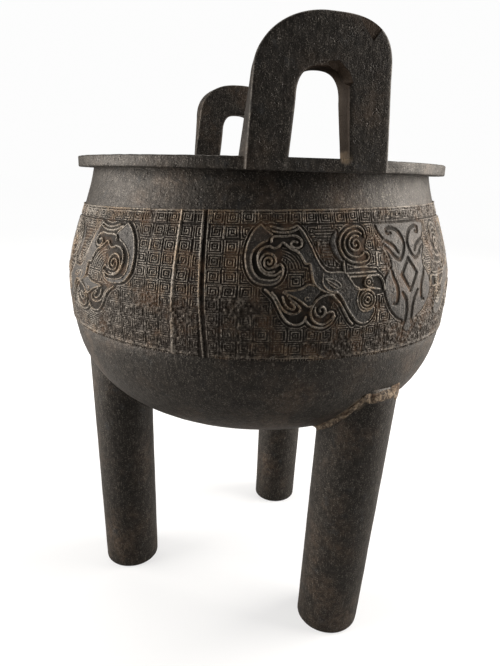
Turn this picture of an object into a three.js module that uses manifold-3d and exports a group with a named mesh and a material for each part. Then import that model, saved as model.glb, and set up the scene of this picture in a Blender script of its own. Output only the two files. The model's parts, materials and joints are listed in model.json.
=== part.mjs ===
// A bronze ding: a round cauldron on three columnar legs, with two loop handles standing on its rim, cast in one
// piece. Millimetres, +Z up. The origin is on the bowl's axis, on the plane that the feet stand on. One handle
// faces -Y. An azimuth is in degrees from -Y towards +X, and a depth is measured down from the rim's top.

import * as THREE from 'three';
import { mergeVertices } from 'three/addons/utils/BufferGeometryUtils.js';
import Module from 'manifold-3d';

const wasm = await Module();
wasm.setup();

// Driving dimensions

const rim = { height: 322.5, radius: 125, thickness: 6.6, rounding: 0.8 };
const neck = { radius: 115.3, flare: 0.19 };
const belly = { radius: 134.2, depth: 78.5 };
const bowl = { depth: 178.5, flatness: 2.84, fullness: 2.78, wall: 5.5 };
const facets = {
  bowl: 36,
  leg: 12,
  floor: 7,
  neckRows: 3,
  bandRows: 4,
  cavityRows: 4,
  leastRow: 4,
  arch: 13,
  hole: 9,
};

const band = { top: 26.1, bottom: 103.4, proud: 0.5, edge: 0.5, margin: 10, slant: 3.6, slantPhase: 13.9 };
const tolerance = 0.1;
const panels = { referenceRadius: 132, rightStretch: 0.00138 };
const relief = { height: 1.4, root: 1.6 };
const panelPlaces = [
  { middle: 26.8, fineLeft: true, fineRight: false },
  { middle: 146.8, fineLeft: false, fineRight: false },
  { middle: 266.8, fineLeft: false, fineRight: true },
];

const handles = [
  { azimuth: 0, leftRound: 2.0, rightRound: 3.0, chipped: true },
  { azimuth: 177.7, leftRound: 2.5, rightRound: 2.5, chipped: false },
];
const loop = {
  face: 122.1,
  thickness: 14.4,
  height: 66.2,
  spring: 38,
  footHalf: 38.1,
  springHalf: 35.6,
  backFoot: 1.035,
  backTaper: 0.0024,
  bevel: 1,
  rootDepth: 6.3,
  opening: { height: 42.1, spring: 27, footHalf: 16.3, springHalf: 13.6, round: 2.6 },
};

const legs = [
  { azimuth: 26.1, footAzimuth: 25.5, radiusOut: 105.9, footOut: 93.6, radius: 24.4, footRadius: 21.7 },
  { azimuth: 149.1, footAzimuth: 150.4, radiusOut: 102.1, footOut: 88.1, radius: 22.2, footRadius: 19.0 },
  { azimuth: 263.1, footAzimuth: 263.3, radiusOut: 104.5, footOut: 101.2, radius: 22.9, footRadius: 21.0 },
];
const leg = { measuredDepth: 120, topDepth: 101, rounding: 2 };
const chipDepth = 0.7;

const bronze = new THREE.MeshStandardMaterial({ color: 0x2b2622, roughness: 0.55, metalness: 0.75 });

// Solids

function toSolid(geometry) {
  geometry.deleteAttribute('normal');
  geometry.deleteAttribute('uv');
  const merged = mergeVertices(geometry, 1e-4);
  const positions = merged.attributes.position.array;
  const triangles = Uint32Array.from(merged.index.array);
  const [a, b, c] = [new THREE.Vector3(), new THREE.Vector3(), new THREE.Vector3()];
  let volume = 0;
  for (let i = 0; i < triangles.length; i += 3) {
    a.fromArray(positions, 3 * triangles[i]);
    b.fromArray(positions, 3 * triangles[i + 1]);
    c.fromArray(positions, 3 * triangles[i + 2]);
    volume += a.dot(b.cross(c));
  }
  if (volume < 0) triangles.reverse();
  return new wasm.Manifold(
    new wasm.Mesh({ numProp: 3, vertProperties: Float32Array.from(positions), triVerts: triangles }),
  );
}

function toGeometry(solid) {
  const mesh = solid.getMesh();
  const geometry = new THREE.BufferGeometry();
  geometry.setAttribute('position', new THREE.BufferAttribute(mesh.vertProperties, 3));
  geometry.setIndex(new THREE.BufferAttribute(mesh.triVerts, 1));
  geometry.computeVertexNormals();
  return geometry;
}

function moveVertices(geometry, place) {
  const positions = geometry.attributes.position;
  const point = new THREE.Vector3();
  for (let i = 0; i < positions.count; i += 1) {
    place(point.fromBufferAttribute(positions, i));
    positions.setXYZ(i, point.x, point.y, point.z);
  }
  return geometry;
}

function turned(profile, segments) {
  return new THREE.LatheGeometry(profile, segments).rotateX(Math.PI / 2);
}

// The bowl's wall

function outerRadius(depth) {
  if (depth <= belly.depth) {
    const length = belly.depth - rim.thickness;
    const t = (depth - rim.thickness) / length;
    const towardsBelly = t * t * (3 - 2 * t);
    const flare = neck.flare * length * t * (1 - t) * (1 - t);
    return neck.radius + (belly.radius - neck.radius) * towardsBelly + flare;
  }
  const down = Math.min((depth - belly.depth) / (bowl.depth - belly.depth), 1);
  return belly.radius * (1 - down ** bowl.flatness) ** (1 / bowl.fullness);
}

function onBowl(azimuth, depth, lift) {
  const step = 0.5;
  const slope = (outerRadius(depth + step) - outerRadius(depth - step)) / (2 * step);
  const length = Math.hypot(1, slope);
  const radius = outerRadius(depth) + lift / length;
  const angle = THREE.MathUtils.degToRad(azimuth);
  return new THREE.Vector3(
    radius * Math.sin(angle),
    -radius * Math.cos(angle),
    rim.height - depth + (lift * slope) / length,
  );
}

function bandTop(azimuth) {
  return band.top - band.slant * Math.sin(THREE.MathUtils.degToRad(azimuth + band.slantPhase));
}

function between(from, to, count) {
  return Array.from({ length: count }, (_, i) => from + ((to - from) * i) / (count - 1));
}

function floorProfile(rows) {
  const angles = between(0, Math.PI / 2, rows + 2).slice(1);
  return angles.map((angle) => {
    const down = Math.sin(angle) ** (2 / bowl.flatness);
    const radius = belly.radius * Math.max(Math.cos(angle), 0) ** (2 / bowl.fullness);
    return new THREE.Vector2(radius < 1e-3 ? 0 : radius, belly.depth + down * (bowl.depth - belly.depth));
  });
}

function wallProfile(depths, floorRows) {
  const side = depths.map((depth) => new THREE.Vector2(outerRadius(depth), depth));
  return [...side, ...floorProfile(floorRows).filter((point) => point.y > depths.at(-1) + facets.leastRow)];
}

function offsetInwards(profile, distance) {
  return profile.map((point, i) => {
    const before = profile[Math.max(i - 1, 0)];
    const after = profile[Math.min(i + 1, profile.length - 1)];
    const along = after.clone().sub(before).normalize();
    if (i === profile.length - 1) return new THREE.Vector2(0, point.y - distance);
    return new THREE.Vector2(point.x - along.y * distance, point.y + along.x * distance);
  });
}

const upright = (profile) => profile.map((point) => new THREE.Vector2(point.x, rim.height - point.y));

function bowlBlank() {
  const round = rim.rounding;
  const plainNeck = between(rim.thickness, band.top - rim.thickness, facets.neckRows);
  const carved = between(band.top + band.margin, band.bottom - band.margin, facets.bandRows - 1);
  const lip = [
    new THREE.Vector2(0, 0),
    new THREE.Vector2(rim.radius - round, 0),
    new THREE.Vector2(rim.radius, round),
    new THREE.Vector2(rim.radius, rim.thickness - round),
    new THREE.Vector2(rim.radius - round, rim.thickness),
  ];
  const proud = (depth) => new THREE.Vector2(outerRadius(depth) + band.proud, depth);
  const profile = [
    ...lip,
    ...plainNeck.map((depth) => new THREE.Vector2(outerRadius(depth), depth)),
    new THREE.Vector2(outerRadius(band.top), band.top),
    proud(band.top + band.edge),
    ...carved.map(proud),
    proud(band.bottom - band.edge),
    ...wallProfile([band.bottom], facets.floor),
  ];
  const geometry = turned(upright(profile), facets.bowl);
  return moveVertices(geometry, (point) => {
    const fromTop = rim.height - point.z - band.top;
    if (fromTop < -tolerance || fromTop > band.edge + tolerance) return;
    const azimuth = THREE.MathUtils.radToDeg(Math.atan2(point.x, -point.y));
    const depth = bandTop(azimuth) + fromTop;
    const radius = outerRadius(depth) + (fromTop > tolerance ? band.proud : 0);
    point.multiplyScalar(radius / Math.hypot(point.x, point.y));
    point.z = rim.height - depth;
  });
}

function cavity(topDepth) {
  const side = between(rim.thickness, band.bottom, facets.cavityRows);
  const inner = offsetInwards(wallProfile(side, facets.floor - 1), bowl.wall);
  const mouth = inner[0].x;
  const profile = [new THREE.Vector2(0, topDepth), new THREE.Vector2(mouth, topDepth), ...inner];
  return toSolid(turned(upright(profile), facets.bowl));
}

// Legs and handles

function legSolid(place) {
  const length = rim.height - leg.topDepth;
  const measured = rim.height - leg.measuredDepth;
  const widening = (place.radius - place.footRadius) / measured;
  const foot = onRing(place.footAzimuth, place.footOut);
  const top = onRing(place.azimuth, place.radiusOut);
  const profile = [
    new THREE.Vector2(0, 0),
    new THREE.Vector2(place.footRadius - leg.rounding, 0),
    new THREE.Vector2(place.footRadius, leg.rounding),
    new THREE.Vector2(place.footRadius + widening * length, length),
    new THREE.Vector2(0, length),
  ];
  const geometry = turned(profile, facets.leg);
  return toSolid(
    moveVertices(geometry, (point) => {
      const along = point.z / measured;
      point.x += foot.x + (top.x - foot.x) * along;
      point.y += foot.y + (top.y - foot.y) * along;
    }),
  );
}

function onRing(azimuth, radius) {
  const angle = THREE.MathUtils.degToRad(azimuth);
  return new THREE.Vector2(radius * Math.sin(angle), -radius * Math.cos(angle));
}

function archPoints(half, spring, height, leftRound, rightRound, steps) {
  return between(Math.PI, 0, steps).map((angle) => {
    const power = 2 / (Math.cos(angle) < 0 ? leftRound : rightRound);
    const across = Math.sign(Math.cos(angle)) * Math.abs(Math.cos(angle)) ** power;
    return new THREE.Vector2(half * across, spring + (height - spring) * Math.abs(Math.sin(angle)) ** power);
  });
}

function handleSolid({ azimuth, leftRound, rightRound, chipped }) {
  const { opening, bevel } = loop;
  const root = -loop.rootDepth;
  const outline = [
    new THREE.Vector2(-loop.footHalf, root),
    ...archPoints(loop.springHalf, loop.spring, loop.height, leftRound, rightRound, facets.arch),
    new THREE.Vector2(loop.footHalf, root),
    new THREE.Vector2(opening.footHalf, root),
    ...archPoints(opening.springHalf, opening.spring, opening.height, opening.round, opening.round, facets.hole)
      .reverse(),
    new THREE.Vector2(-opening.footHalf, root),
  ];
  const geometry = new THREE.ExtrudeGeometry(new THREE.Shape(outline), {
    depth: loop.thickness - 2 * bevel,
    bevelSize: bevel,
    bevelOffset: -bevel,
    bevelThickness: bevel,
    bevelSegments: 1,
  });
  geometry.translate(0, 0, bevel - loop.thickness);
  moveVertices(geometry, (point) => {
    const towardsBack = -point.z / loop.thickness;
    const back = loop.backFoot - loop.backTaper * Math.max(point.y, 0) - 1;
    point.x *= 1 + back * towardsBack;
  });
  let handle = toSolid(geometry);
  if (chipped) handle = handle.subtract(chip());
  const stand = new THREE.Matrix4()
    .makeRotationZ(THREE.MathUtils.degToRad(azimuth))
    .multiply(new THREE.Matrix4().makeTranslation(0, -loop.face, rim.height))
    .multiply(new THREE.Matrix4().makeRotationX(Math.PI / 2));
  return handle.transform(stand.elements).subtract(cavity(0));
}

// The wedge missing from the first handle's right shoulder, and the flat cut where a handle meets the rim's edge

function chip() {
  const outline = [
    new THREE.Vector2(19.6, 70),
    new THREE.Vector2(18.2, 62.5),
    new THREE.Vector2(25.9, 54.3),
    new THREE.Vector2(29.6, 59),
    new THREE.Vector2(30.5, 64),
  ];
  const geometry = new THREE.ExtrudeGeometry(new THREE.Shape(outline), { depth: 2 * chipDepth, bevelEnabled: false });
  return toSolid(geometry.translate(0, 0, -chipDepth));
}

function rimFlat({ azimuth }) {
  const block = new THREE.BoxGeometry(2 * loop.springHalf, 10, 4 * rim.thickness);
  block.translate(0, -loop.face - 5, rim.height);
  return toSolid(block.rotateZ(THREE.MathUtils.degToRad(azimuth)));
}

// Raised carving. A figure is drawn flat, in millimetres across from its panel's middle line and down from the
// band's top, then bent round the bowl.

function bent(shape, middle, mirrored) {
  const geometry = new THREE.ExtrudeGeometry(shape, { depth: relief.height + relief.root, bevelEnabled: false });
  const perDegree = (panels.referenceRadius * Math.PI) / 180;
  moveVertices(geometry, (point) => {
    const across = mirrored ? -point.x * (1 + panels.rightStretch * Math.abs(point.x)) : point.x;
    point.copy(onBowl(middle + across / perDegree, band.top + point.y, point.z - relief.root));
  });
  return toSolid(geometry);
}

function stroke(points, steps) {
  const line = new THREE.CatmullRomCurve3(points.map(([across, down]) => new THREE.Vector3(across, down, 0)));
  const sides = [[], []];
  for (const t of between(0, 1, steps + 1)) {
    const middle = line.getPoint(t);
    const along = line.getTangent(t);
    const place = Math.min(t * (points.length - 1), points.length - 1 - 1e-6);
    const index = Math.floor(place);
    const half = THREE.MathUtils.lerp(points[index][2], points[index + 1][2], place - index) / 2;
    sides[0].push(new THREE.Vector2(middle.x - along.y * half, middle.y + along.x * half));
    sides[1].push(new THREE.Vector2(middle.x + along.y * half, middle.y - along.x * half));
  }
  return new THREE.Shape([...sides[0], ...sides[1].reverse()]);
}

function coil({ at, from, to, start, turn, width }, steps) {
  const points = between(0, 1, 7).map((t) => {
    const angle = THREE.MathUtils.degToRad(start + turn * t);
    const radius = from + (to - from) * t;
    return [at[0] + radius * Math.cos(angle), at[1] + radius * Math.sin(angle), width];
  });
  return stroke(points, steps);
}

function disc([across, down], radius, sides) {
  const corner = (i) => {
    const angle = (2 * Math.PI * i) / sides;
    return new THREE.Vector2(across + radius * Math.cos(angle), down + radius * Math.sin(angle));
  };
  return new THREE.Shape(Array.from({ length: sides }, (_, i) => corner(i)));
}

const tailCoil = { at: [-86.4, 25.6], from: 2, to: 9.2, start: 10, turn: 480, width: 2 };
const hornRing = { at: [-38.2, 17.9], from: 9.4, to: 8.8, start: -50, turn: -250, width: 2 };
const snoutCoil = { at: [-33, 46], from: 4.6, to: 4, start: 0, turn: 330, width: 1.6 };
const clawCoil = { at: [-58.5, 50], from: 6.5, to: 2.5, start: 150, turn: -330, width: 1.8 };

// One half of a figure, drawn on the left of its panel's middle line. The fine strokes are left off the halves that
// stay plainer.
const halfFigure = {
  main: [
    // The tail's broad hook and the coil inside it
    stroke(
      [[-90, 8.5, 2], [-93.6, 13.5, 5.5], [-96.2, 22, 4], [-94.6, 31, 3], [-87.5, 36.6, 2.4], [-79, 31.5, 1.6]],
      6,
    ),
    coil(tailCoil, 9),
    // The body, from the shoulder down to the snout's hook
    stroke(
      [
        [-72.5, 10, 3], [-64.5, 24, 5.5], [-59.5, 33.5, 9], [-48, 38.5, 9],
        [-41.5, 48, 6.5], [-34, 55, 5.5], [-28.6, 50.5, 2],
      ],
      7,
    ),
    // The C-shaped horn
    coil(hornRing, 6),
    disc([-38.2, 17.9], 3.4, 6),
    // The brow and the eye
    stroke([[-44, 32.6, 1.4], [-27, 33, 1.8], [-20.6, 41.5, 1.6]], 3),
    disc([-31.4, 36.9], 2.9, 6),
    // The fore claw
    stroke([[-84.5, 42, 1.8], [-79.5, 52.5, 2.2], [-73, 56, 2.4], [-67.5, 50.5, 2]], 4),
    // The face's leaf, long limb and cheek
    stroke([[-20.5, 10, 3], [-13.5, 14, 5], [-6, 17, 6], [-6.3, 23.5, 3.4]], 3),
    stroke([[-13, 27, 3], [-11.6, 33, 3.4], [-5.2, 42, 3.4], [-1.4, 50, 3.2], [-0.7, 63, 1.6]], 4),
    stroke([[-18.3, 33, 4.6], [-16.6, 43, 6.8], [-10.5, 53, 6.6], [-5, 58.6, 2]], 4),
  ],
  fine: [
    // The curled crest over the coil, the horn's outer plate and the snout's coil
    stroke([[-85.5, 13.5, 1.8], [-77, 12.7, 1.8], [-69.3, 14.5, 1.8], [-70.5, 18.6, 1.8], [-74.6, 17, 1.6]], 6),
    stroke([[-50.5, 11.5, 2], [-52, 17.5, 3.6], [-46.5, 25.5, 2]], 3),
    coil(snoutCoil, 6),
    // The leaf in the fore claw, and the hind claw
    stroke([[-80.5, 42.5, 4.5], [-74, 48.8, 5]], 1),
    coil(clawCoil, 7),
    // The face's crossing arms
    stroke([[-17, 19.2, 2], [-10.5, 24, 2.6], [-4, 27, 2.6]], 2),
    stroke([[-11, 32.5, 3], [-4.5, 28, 3], [0, 20.5, 3], [1.5, 12, 2]], 3),
  ],
};
const lozenge = new THREE.Shape(
  [[0, 28.7], [6, 35.5], [0, 42.6], [-6, 35.5]].map(([across, down]) => new THREE.Vector2(across, down)),
);
const frameLines = [
  // The panel's left border, and the worn seam between two panels, which widens as it goes down
  stroke([[-125.3, 2.5, 1.3], [-123.3, 49, 1.3], [-121.2, 76, 1.3]], 2),
  stroke([[-138.4, 3, 1.8], [-137.6, 30, 2.2], [-138.6, 76, 3.6]], 2),
];

function carvedPanel({ middle, fineLeft, fineRight }) {
  const { main, fine } = halfFigure;
  const left = fineLeft ? [...main, ...fine] : main;
  const right = fineRight ? [...main, ...fine] : main;
  return [
    ...[...left, lozenge, ...frameLines].map((shape) => bent(shape, middle, false)),
    ...right.map((shape) => bent(shape, middle, true)),
  ];
}

// The whole casting

function casting() {
  const flats = handles.map(rimFlat);
  let solid = toSolid(bowlBlank());
  for (const flat of flats) solid = solid.subtract(flat);
  for (const place of legs) solid = solid.add(legSolid(place));
  solid = solid.subtract(cavity(-5));
  for (const piece of panelPlaces.flatMap(carvedPanel)) solid = solid.add(piece);
  for (const place of handles) solid = solid.add(handleSolid(place));
  return solid;
}

const ding = new THREE.Mesh(toGeometry(casting()), bronze);
ding.name = 'ding';

const part = new THREE.Group();
part.add(ding);

export default part;
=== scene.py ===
# A cast bronze ding: a round bowl on three columnar legs, with two loop handles on its rim and a wide
# band of relief. Metres, +Z up. The origin is on the bowl's axis, on the plane that the feet stand on,
# and one handle faces -Y. An azimuth is in degrees from -Y towards +X, a depth is measured down from the
# rim's top, and a lift is measured outwards, square to the bowl's side. The relief is drawn flat, in
# millimetres across and down a panel.

import json
import math

import bmesh
import bpy
import numpy as np
from bpy.props import FloatProperty, FloatVectorProperty, IntProperty, PointerProperty
from mathutils import Matrix, Vector

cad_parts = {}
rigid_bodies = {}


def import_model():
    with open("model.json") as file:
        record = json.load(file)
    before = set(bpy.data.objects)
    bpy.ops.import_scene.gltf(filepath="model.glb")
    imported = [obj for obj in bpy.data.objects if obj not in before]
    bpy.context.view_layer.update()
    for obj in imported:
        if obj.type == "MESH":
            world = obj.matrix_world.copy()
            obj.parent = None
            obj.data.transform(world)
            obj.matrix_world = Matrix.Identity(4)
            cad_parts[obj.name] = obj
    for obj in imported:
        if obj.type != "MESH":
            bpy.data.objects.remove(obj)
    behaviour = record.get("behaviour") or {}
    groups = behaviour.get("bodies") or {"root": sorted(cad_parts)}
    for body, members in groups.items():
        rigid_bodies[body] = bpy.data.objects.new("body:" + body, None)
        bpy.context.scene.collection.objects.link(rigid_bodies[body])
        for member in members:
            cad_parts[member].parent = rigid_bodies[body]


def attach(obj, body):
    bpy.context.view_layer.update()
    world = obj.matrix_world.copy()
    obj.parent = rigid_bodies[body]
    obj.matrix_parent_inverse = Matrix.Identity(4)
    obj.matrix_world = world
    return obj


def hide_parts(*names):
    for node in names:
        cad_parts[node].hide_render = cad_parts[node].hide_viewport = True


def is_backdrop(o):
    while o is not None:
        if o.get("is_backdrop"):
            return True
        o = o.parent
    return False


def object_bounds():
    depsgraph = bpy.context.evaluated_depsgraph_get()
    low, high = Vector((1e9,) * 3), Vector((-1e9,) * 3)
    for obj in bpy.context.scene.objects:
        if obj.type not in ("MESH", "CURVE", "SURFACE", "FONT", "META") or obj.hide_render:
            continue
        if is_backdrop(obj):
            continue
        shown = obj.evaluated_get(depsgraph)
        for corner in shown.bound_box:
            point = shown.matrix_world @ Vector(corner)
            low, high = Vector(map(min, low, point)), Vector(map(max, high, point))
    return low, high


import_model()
cad_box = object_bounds()

bl_info = {
    "name": "Bronze ding",
    "version": (1, 0, 0),
    "blender": (4, 5, 0),
    "location": "3D View > Sidebar > Ding",
    "description": "Builds a cast bronze ding with its relief band, its patina and a plain studio",
    "category": "Add Mesh",
}

MM = 0.001
NODE = "ding"


def number(name, description, default):
    """A plain number property."""
    return FloatProperty(name=name, description=description, default=default)


def whole_number(name, description, default):
    """A whole number property."""
    return IntProperty(name=name, description=description, default=default)


def length(name, description, default):
    """A length property in metres."""
    return FloatProperty(name=name, description=description, default=default, unit="LENGTH", precision=5)


def angle(name, description, degrees):
    """An angle property, given in degrees."""
    return FloatProperty(name=name, description=description, default=math.radians(degrees), unit="ROTATION")


def colour(name, description, default):
    """A linear colour property."""
    return FloatVectorProperty(
        name=name, description=description, default=default, subtype="COLOR", size=3, min=0.0, max=1.0
    )


# Sizes and colours


class BowlSizes(bpy.types.PropertyGroup):
    rim_height: length("Rim height", "Height of the rim's top above the feet", 0.3225)
    rim_radius: length("Rim radius", "Outer radius of the rim", 0.125)
    rim_thickness: length("Rim thickness", "Height of the rim's outer edge", 0.0066)
    rim_rounding: length("Rim rounding", "Rounding of the rim's edges", 0.0008)
    neck_radius: length("Neck radius", "Outer radius under the rim", 0.1153)
    neck_flare: number("Neck flare", "Slope of the wall just under the rim", 0.19)
    belly_radius: length("Belly radius", "Largest outer radius of the bowl", 0.1342)
    belly_depth: length("Belly depth", "Depth of the widest line below the rim's top", 0.0785)
    bowl_depth: length("Bowl depth", "Depth of the underside's lowest point below the rim's top", 0.1785)
    flatness: number("Flatness", "Power of the underside's curve in height", 2.84)
    fullness: number("Fullness", "Power of the underside's curve in radius", 2.78)
    wall: length("Wall", "Thickness of the wall", 0.0055)
    turns: whole_number("Turn steps", "Steps of the spin about the axis", 360)


class HandleSizes(bpy.types.PropertyGroup):
    face: length("Face", "Distance of the outer face from the axis", 0.1222)
    thickness: length("Thickness", "Thickness of a handle from its outer to its inner face", 0.0144)
    height: length("Height", "Height of a handle above the rim's top", 0.0662)
    spring: length("Spring", "Height at which the outer arch springs", 0.038)
    foot_half: length("Foot half", "Half of the width at the rim", 0.0381)
    spring_half: length("Spring half", "Half of the width where the arch springs", 0.0356)
    hole_height: length("Opening height", "Height of the opening above the rim's top", 0.0421)
    hole_spring: length("Opening spring", "Height at which the opening's arch springs", 0.027)
    hole_foot_half: length("Opening foot half", "Half of the opening's width at the rim", 0.0163)
    hole_spring_half: length("Opening spring half", "Half of the opening's width at its spring", 0.0136)
    hole_round: number("Opening roundness", "Power of the opening's arch", 2.6)
    back_foot: number("Back foot", "Width of the inner face at the rim", 1.035)
    back_taper: number("Back taper", "Narrowing of the inner face per mm of height", 0.0024)
    rounding: length("Rounding", "Rounding of a handle's long edges", 0.0013)
    root_depth: length("Root depth", "Depth of a handle's root inside the rim", 0.0062)


class LegSizes(bpy.types.PropertyGroup):
    measured_depth: length("Measured depth", "Depth at which a leg's upper place and radius hold", 0.120)
    rounding: length("Foot rounding", "Rounding of a foot's lower edge", 0.0022)
    fillet: length("Fillet", "Width of the fillet between a leg and the bowl", 0.005)
    shoulder_depth: length("Shoulder depth", "Depth at which a leg's outer side ends at the latest", 0.1345)


class ReliefSizes(bpy.types.PropertyGroup):
    top: length("Band top", "Mean depth of the band's top line", 0.0261)
    bottom: length("Band bottom", "Depth of the band's bottom line", 0.1034)
    slant: length("Slant", "How far the band's top line wanders up and down", 0.0036)
    slant_phase: angle("Slant phase", "Turn of the top line's wandering", 13.9)
    radius: length("Drawing radius", "Radius at which a drawing's width is true", 0.132)
    cells_across: whole_number("Cells across", "Spiral cells across half a panel", 16)
    row_height: number("Row height", "Height of a row of cells in mm", 7.4)
    cell_rings: whole_number("Cell rings", "Turns of the line from a cell's edge to its middle", 3)
    face_shift: number("Face shift", "How far the figure sits left of a panel's middle, in mm", 1.2)
    right_stretch: number("Right stretch", "Widening of the right half per mm across", 0.00138)
    right_drop: number("Right drop", "How much lower the right half's tail lies, in mm", 4.2)
    back_depth: length("Back depth", "How deep a relief piece sits in the wall", 0.0012)


class BronzeColours(bpy.types.PropertyGroup):
    dark: colour("Dark patina", "Brown-black skin of the bronze", (0.0168, 0.0141, 0.0118))
    # Brown patina is also the crust's painted shade in its hollows.
    brown: colour("Brown patina", "Warmer patches of the skin", (0.052, 0.036, 0.025))
    cool: colour("Cool patina", "Cooler, smoother patches of the skin", (0.0225, 0.023, 0.024))
    # Worn metal is also the colour of the patina's painted glints, which stand in for highlights.
    worn: colour("Worn metal", "Rubbed ridges and edges", (0.36, 0.32, 0.27))
    rust: colour("Rust-brown dust", "Dust and corrosion in the recesses", (0.088, 0.052, 0.031))
    crust: colour("Crust", "Pale crust along the joint of a leg", (0.27, 0.205, 0.14))
    pit: colour("Pits", "Bottoms of the skin's small pits", (0.008, 0.006, 0.005))
    chip: colour("Chips", "Bare metal in the chips and the openings", (0.042, 0.027, 0.017))
    trough: colour("Troughs", "Bottoms of the ground's troughs", (0.012, 0.0095, 0.0075))
    tan: colour("Tan ridges", "Rubbed ridges that keep some dust", (0.30, 0.215, 0.135))


class StageSizes(bpy.types.PropertyGroup):
    distance: length("Distance", "Distance of the camera from the axis", 0.400949)
    drop: length("Drop", "How far the camera is below the rim's top", 0.009629)
    azimuth: angle("Azimuth", "Side of the vessel that the camera stands on", -13.86)
    yaw: angle("Yaw", "Turn of the camera to the side", -0.6551)
    pitch: angle("Pitch", "Downward tilt of the camera", 16.3643)
    roll: angle("Roll", "Roll of the camera", -1.5714)
    lens_pixels: number("Focal length", "Focal length in pixels of the picture", 533.88)
    picture_width: number("Picture width", "Width of the picture in pixels", 500.0)
    floor_size: length("Floor size", "Side of the floor", 40.0)
    fill: number("Fill", "Strength of the light from all round", 0.1)
    backdrop: number("Backdrop", "Brightness of the backdrop as the camera sees it", 0.98)


HANDLE_PLACES = (
    {"azimuth": 0.0, "left_round": 2.0, "right_round": 3.0},
    {"azimuth": 177.7, "left_round": 2.5, "right_round": 2.5},
)
# Each leg's axis and radius, at the measured depth and at the foot
LEG_PLACES = tuple(
    dict(zip(("azimuth", "foot_azimuth", "out", "foot_out", "radius", "foot_radius"), numbers))
    for numbers in (
        (26.1, 25.5, 0.1059, 0.0936, 0.0244, 0.0217),
        (149.1, 150.4, 0.1021, 0.0881, 0.0222, 0.019),
        (263.1, 263.3, 0.1045, 0.1012, 0.0229, 0.021),
    )
)
# Chips in the front handle's outer face: across and up from the rim's top, and depth, in mm
HANDLE_CHIPS = (
    [(18.4, 70, 0.8), (16.9, 63, 0.8), (24, 54.6, 0.8), (28, 59.4, 0.8), (29.5, 65, 0.8)],
    [(1, 44.2, 0.8), (7, 45.2, 0.8), (13, 40.4, 0.8), (15.4, 35.5, 0.8), (12, 33, 5), (6, 38, 5)],
)
PANEL_PLACES = (
    {"name": "front", "middle": 26.8, "steps": 24},
    {"name": "back", "middle": 146.8, "steps": 16},
    {"name": "side", "middle": 266.8, "steps": 24},
)
# The soft lights: place as the camera faces it, width and height, and power in watts
SOFT_LIGHTS = (
    ("left_softbox", (-1.1, -0.16, 0.43), (0.95, 0.85), 27.0),
    ("right_softbox", (1.1, 0.08, 0.62), (0.95, 1.2), 36.0),
    ("top_softbox", (0.0, 0.5, 1.4), (1.4, 1.0), 13.0),
)
LIT_PLACE = (0.0, 0.0, 0.2)
LIGHT_COLOUR = (1.0, 0.965, 0.925)


# Curves and noise shared by the pieces


def smoothstep(low, high, value):
    """A smooth rise from 0 at low to 1 at high, or a fall where low is the larger."""
    t = np.clip((value - low) / (high - low), 0.0, 1.0)
    return t * t * (3.0 - 2.0 * t)


def value_noise(points, size, seed):
    """Smooth noise from 0 to 1 at 2-D or 3-D points, with features about size wide."""
    rng = np.random.default_rng(seed)
    period = 64
    lattice = rng.random((period,) * points.shape[1])
    scaled = points / size
    base = np.floor(scaled).astype(int)
    part = scaled - base
    part = part * part * (3.0 - 2.0 * part)
    total = np.zeros(len(points))
    for corner in np.ndindex(*(2,) * points.shape[1]):
        weight = np.prod(np.where(corner, part, 1.0 - part), axis=1)
        total += weight * lattice[tuple((base + corner).T % period)]
    return total


def rough_noise(points, size, seed, octaves=3):
    """Noise about 0, from -1 to 1, with finer noise added on top."""
    total = np.zeros(len(points))
    for octave in range(octaves):
        total += (value_noise(points, size / 2**octave, seed + octave) * 2.0 - 1.0) / 2**octave
    return total / (2.0 - 0.5 ** (octaves - 1))


def outer_radius(depth, bowl):
    """Radius of the bowl's outside at each depth."""
    depth = np.asarray(depth, float)
    span = bowl.belly_depth - bowl.rim_thickness
    t = (depth - bowl.rim_thickness) / span
    swell = bowl.neck_radius + (bowl.belly_radius - bowl.neck_radius) * t * t * (3.0 - 2.0 * t)
    upper = swell + bowl.neck_flare * span * t * (1.0 - t) ** 2
    down = np.clip((depth - bowl.belly_depth) / (bowl.bowl_depth - bowl.belly_depth), 0.0, 1.0)
    lower = bowl.belly_radius * (1.0 - down**bowl.flatness) ** (1.0 / bowl.fullness)
    return np.where(depth <= bowl.belly_depth, upper, lower)


def on_bowl(azimuth, depth, lift, bowl):
    """Points at an azimuth in degrees and a depth, lifted off the bowl's outside."""
    step = 0.5 * MM
    slope = (outer_radius(depth + step, bowl) - outer_radius(depth - step, bowl)) / (2.0 * step)
    size = np.hypot(1.0, slope)
    radius = outer_radius(depth, bowl) + lift / size
    turn = np.radians(azimuth)
    height = bowl.rim_height - depth + lift * slope / size
    return np.stack([radius * np.sin(turn), -radius * np.cos(turn), height], axis=-1)


def band_top(azimuth, relief):
    """Depth of the band's top line, which wanders a little round the bowl."""
    return relief.top - relief.slant * np.sin(np.radians(azimuth) + relief.slant_phase)


def ring_point(azimuth, radius):
    """A place in plan at an azimuth in degrees and a distance from the axis."""
    turn = math.radians(azimuth)
    return Vector((radius * math.sin(turn), -radius * math.cos(turn)))


def handle_axes(points, place):
    """How far points lie outwards and across, as seen facing a handle."""
    turn = math.radians(place["azimuth"])
    outwards = points[:, 0] * math.sin(turn) - points[:, 1] * math.cos(turn)
    across = points[:, 0] * math.cos(turn) + points[:, 1] * math.sin(turn)
    return outwards, across


# Meshes


def mesh_of(bm, name):
    mesh = bpy.data.meshes.new(name)
    bm.to_mesh(mesh)
    bm.free()
    return mesh


def coordinates(mesh):
    values = np.empty(len(mesh.vertices) * 3, np.float32)
    mesh.vertices.foreach_get("co", values)
    return values.reshape(-1, 3).astype(float)


def set_coordinates(mesh, points):
    mesh.vertices.foreach_set("co", np.ascontiguousarray(points, np.float32).ravel())
    mesh.update()


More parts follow.
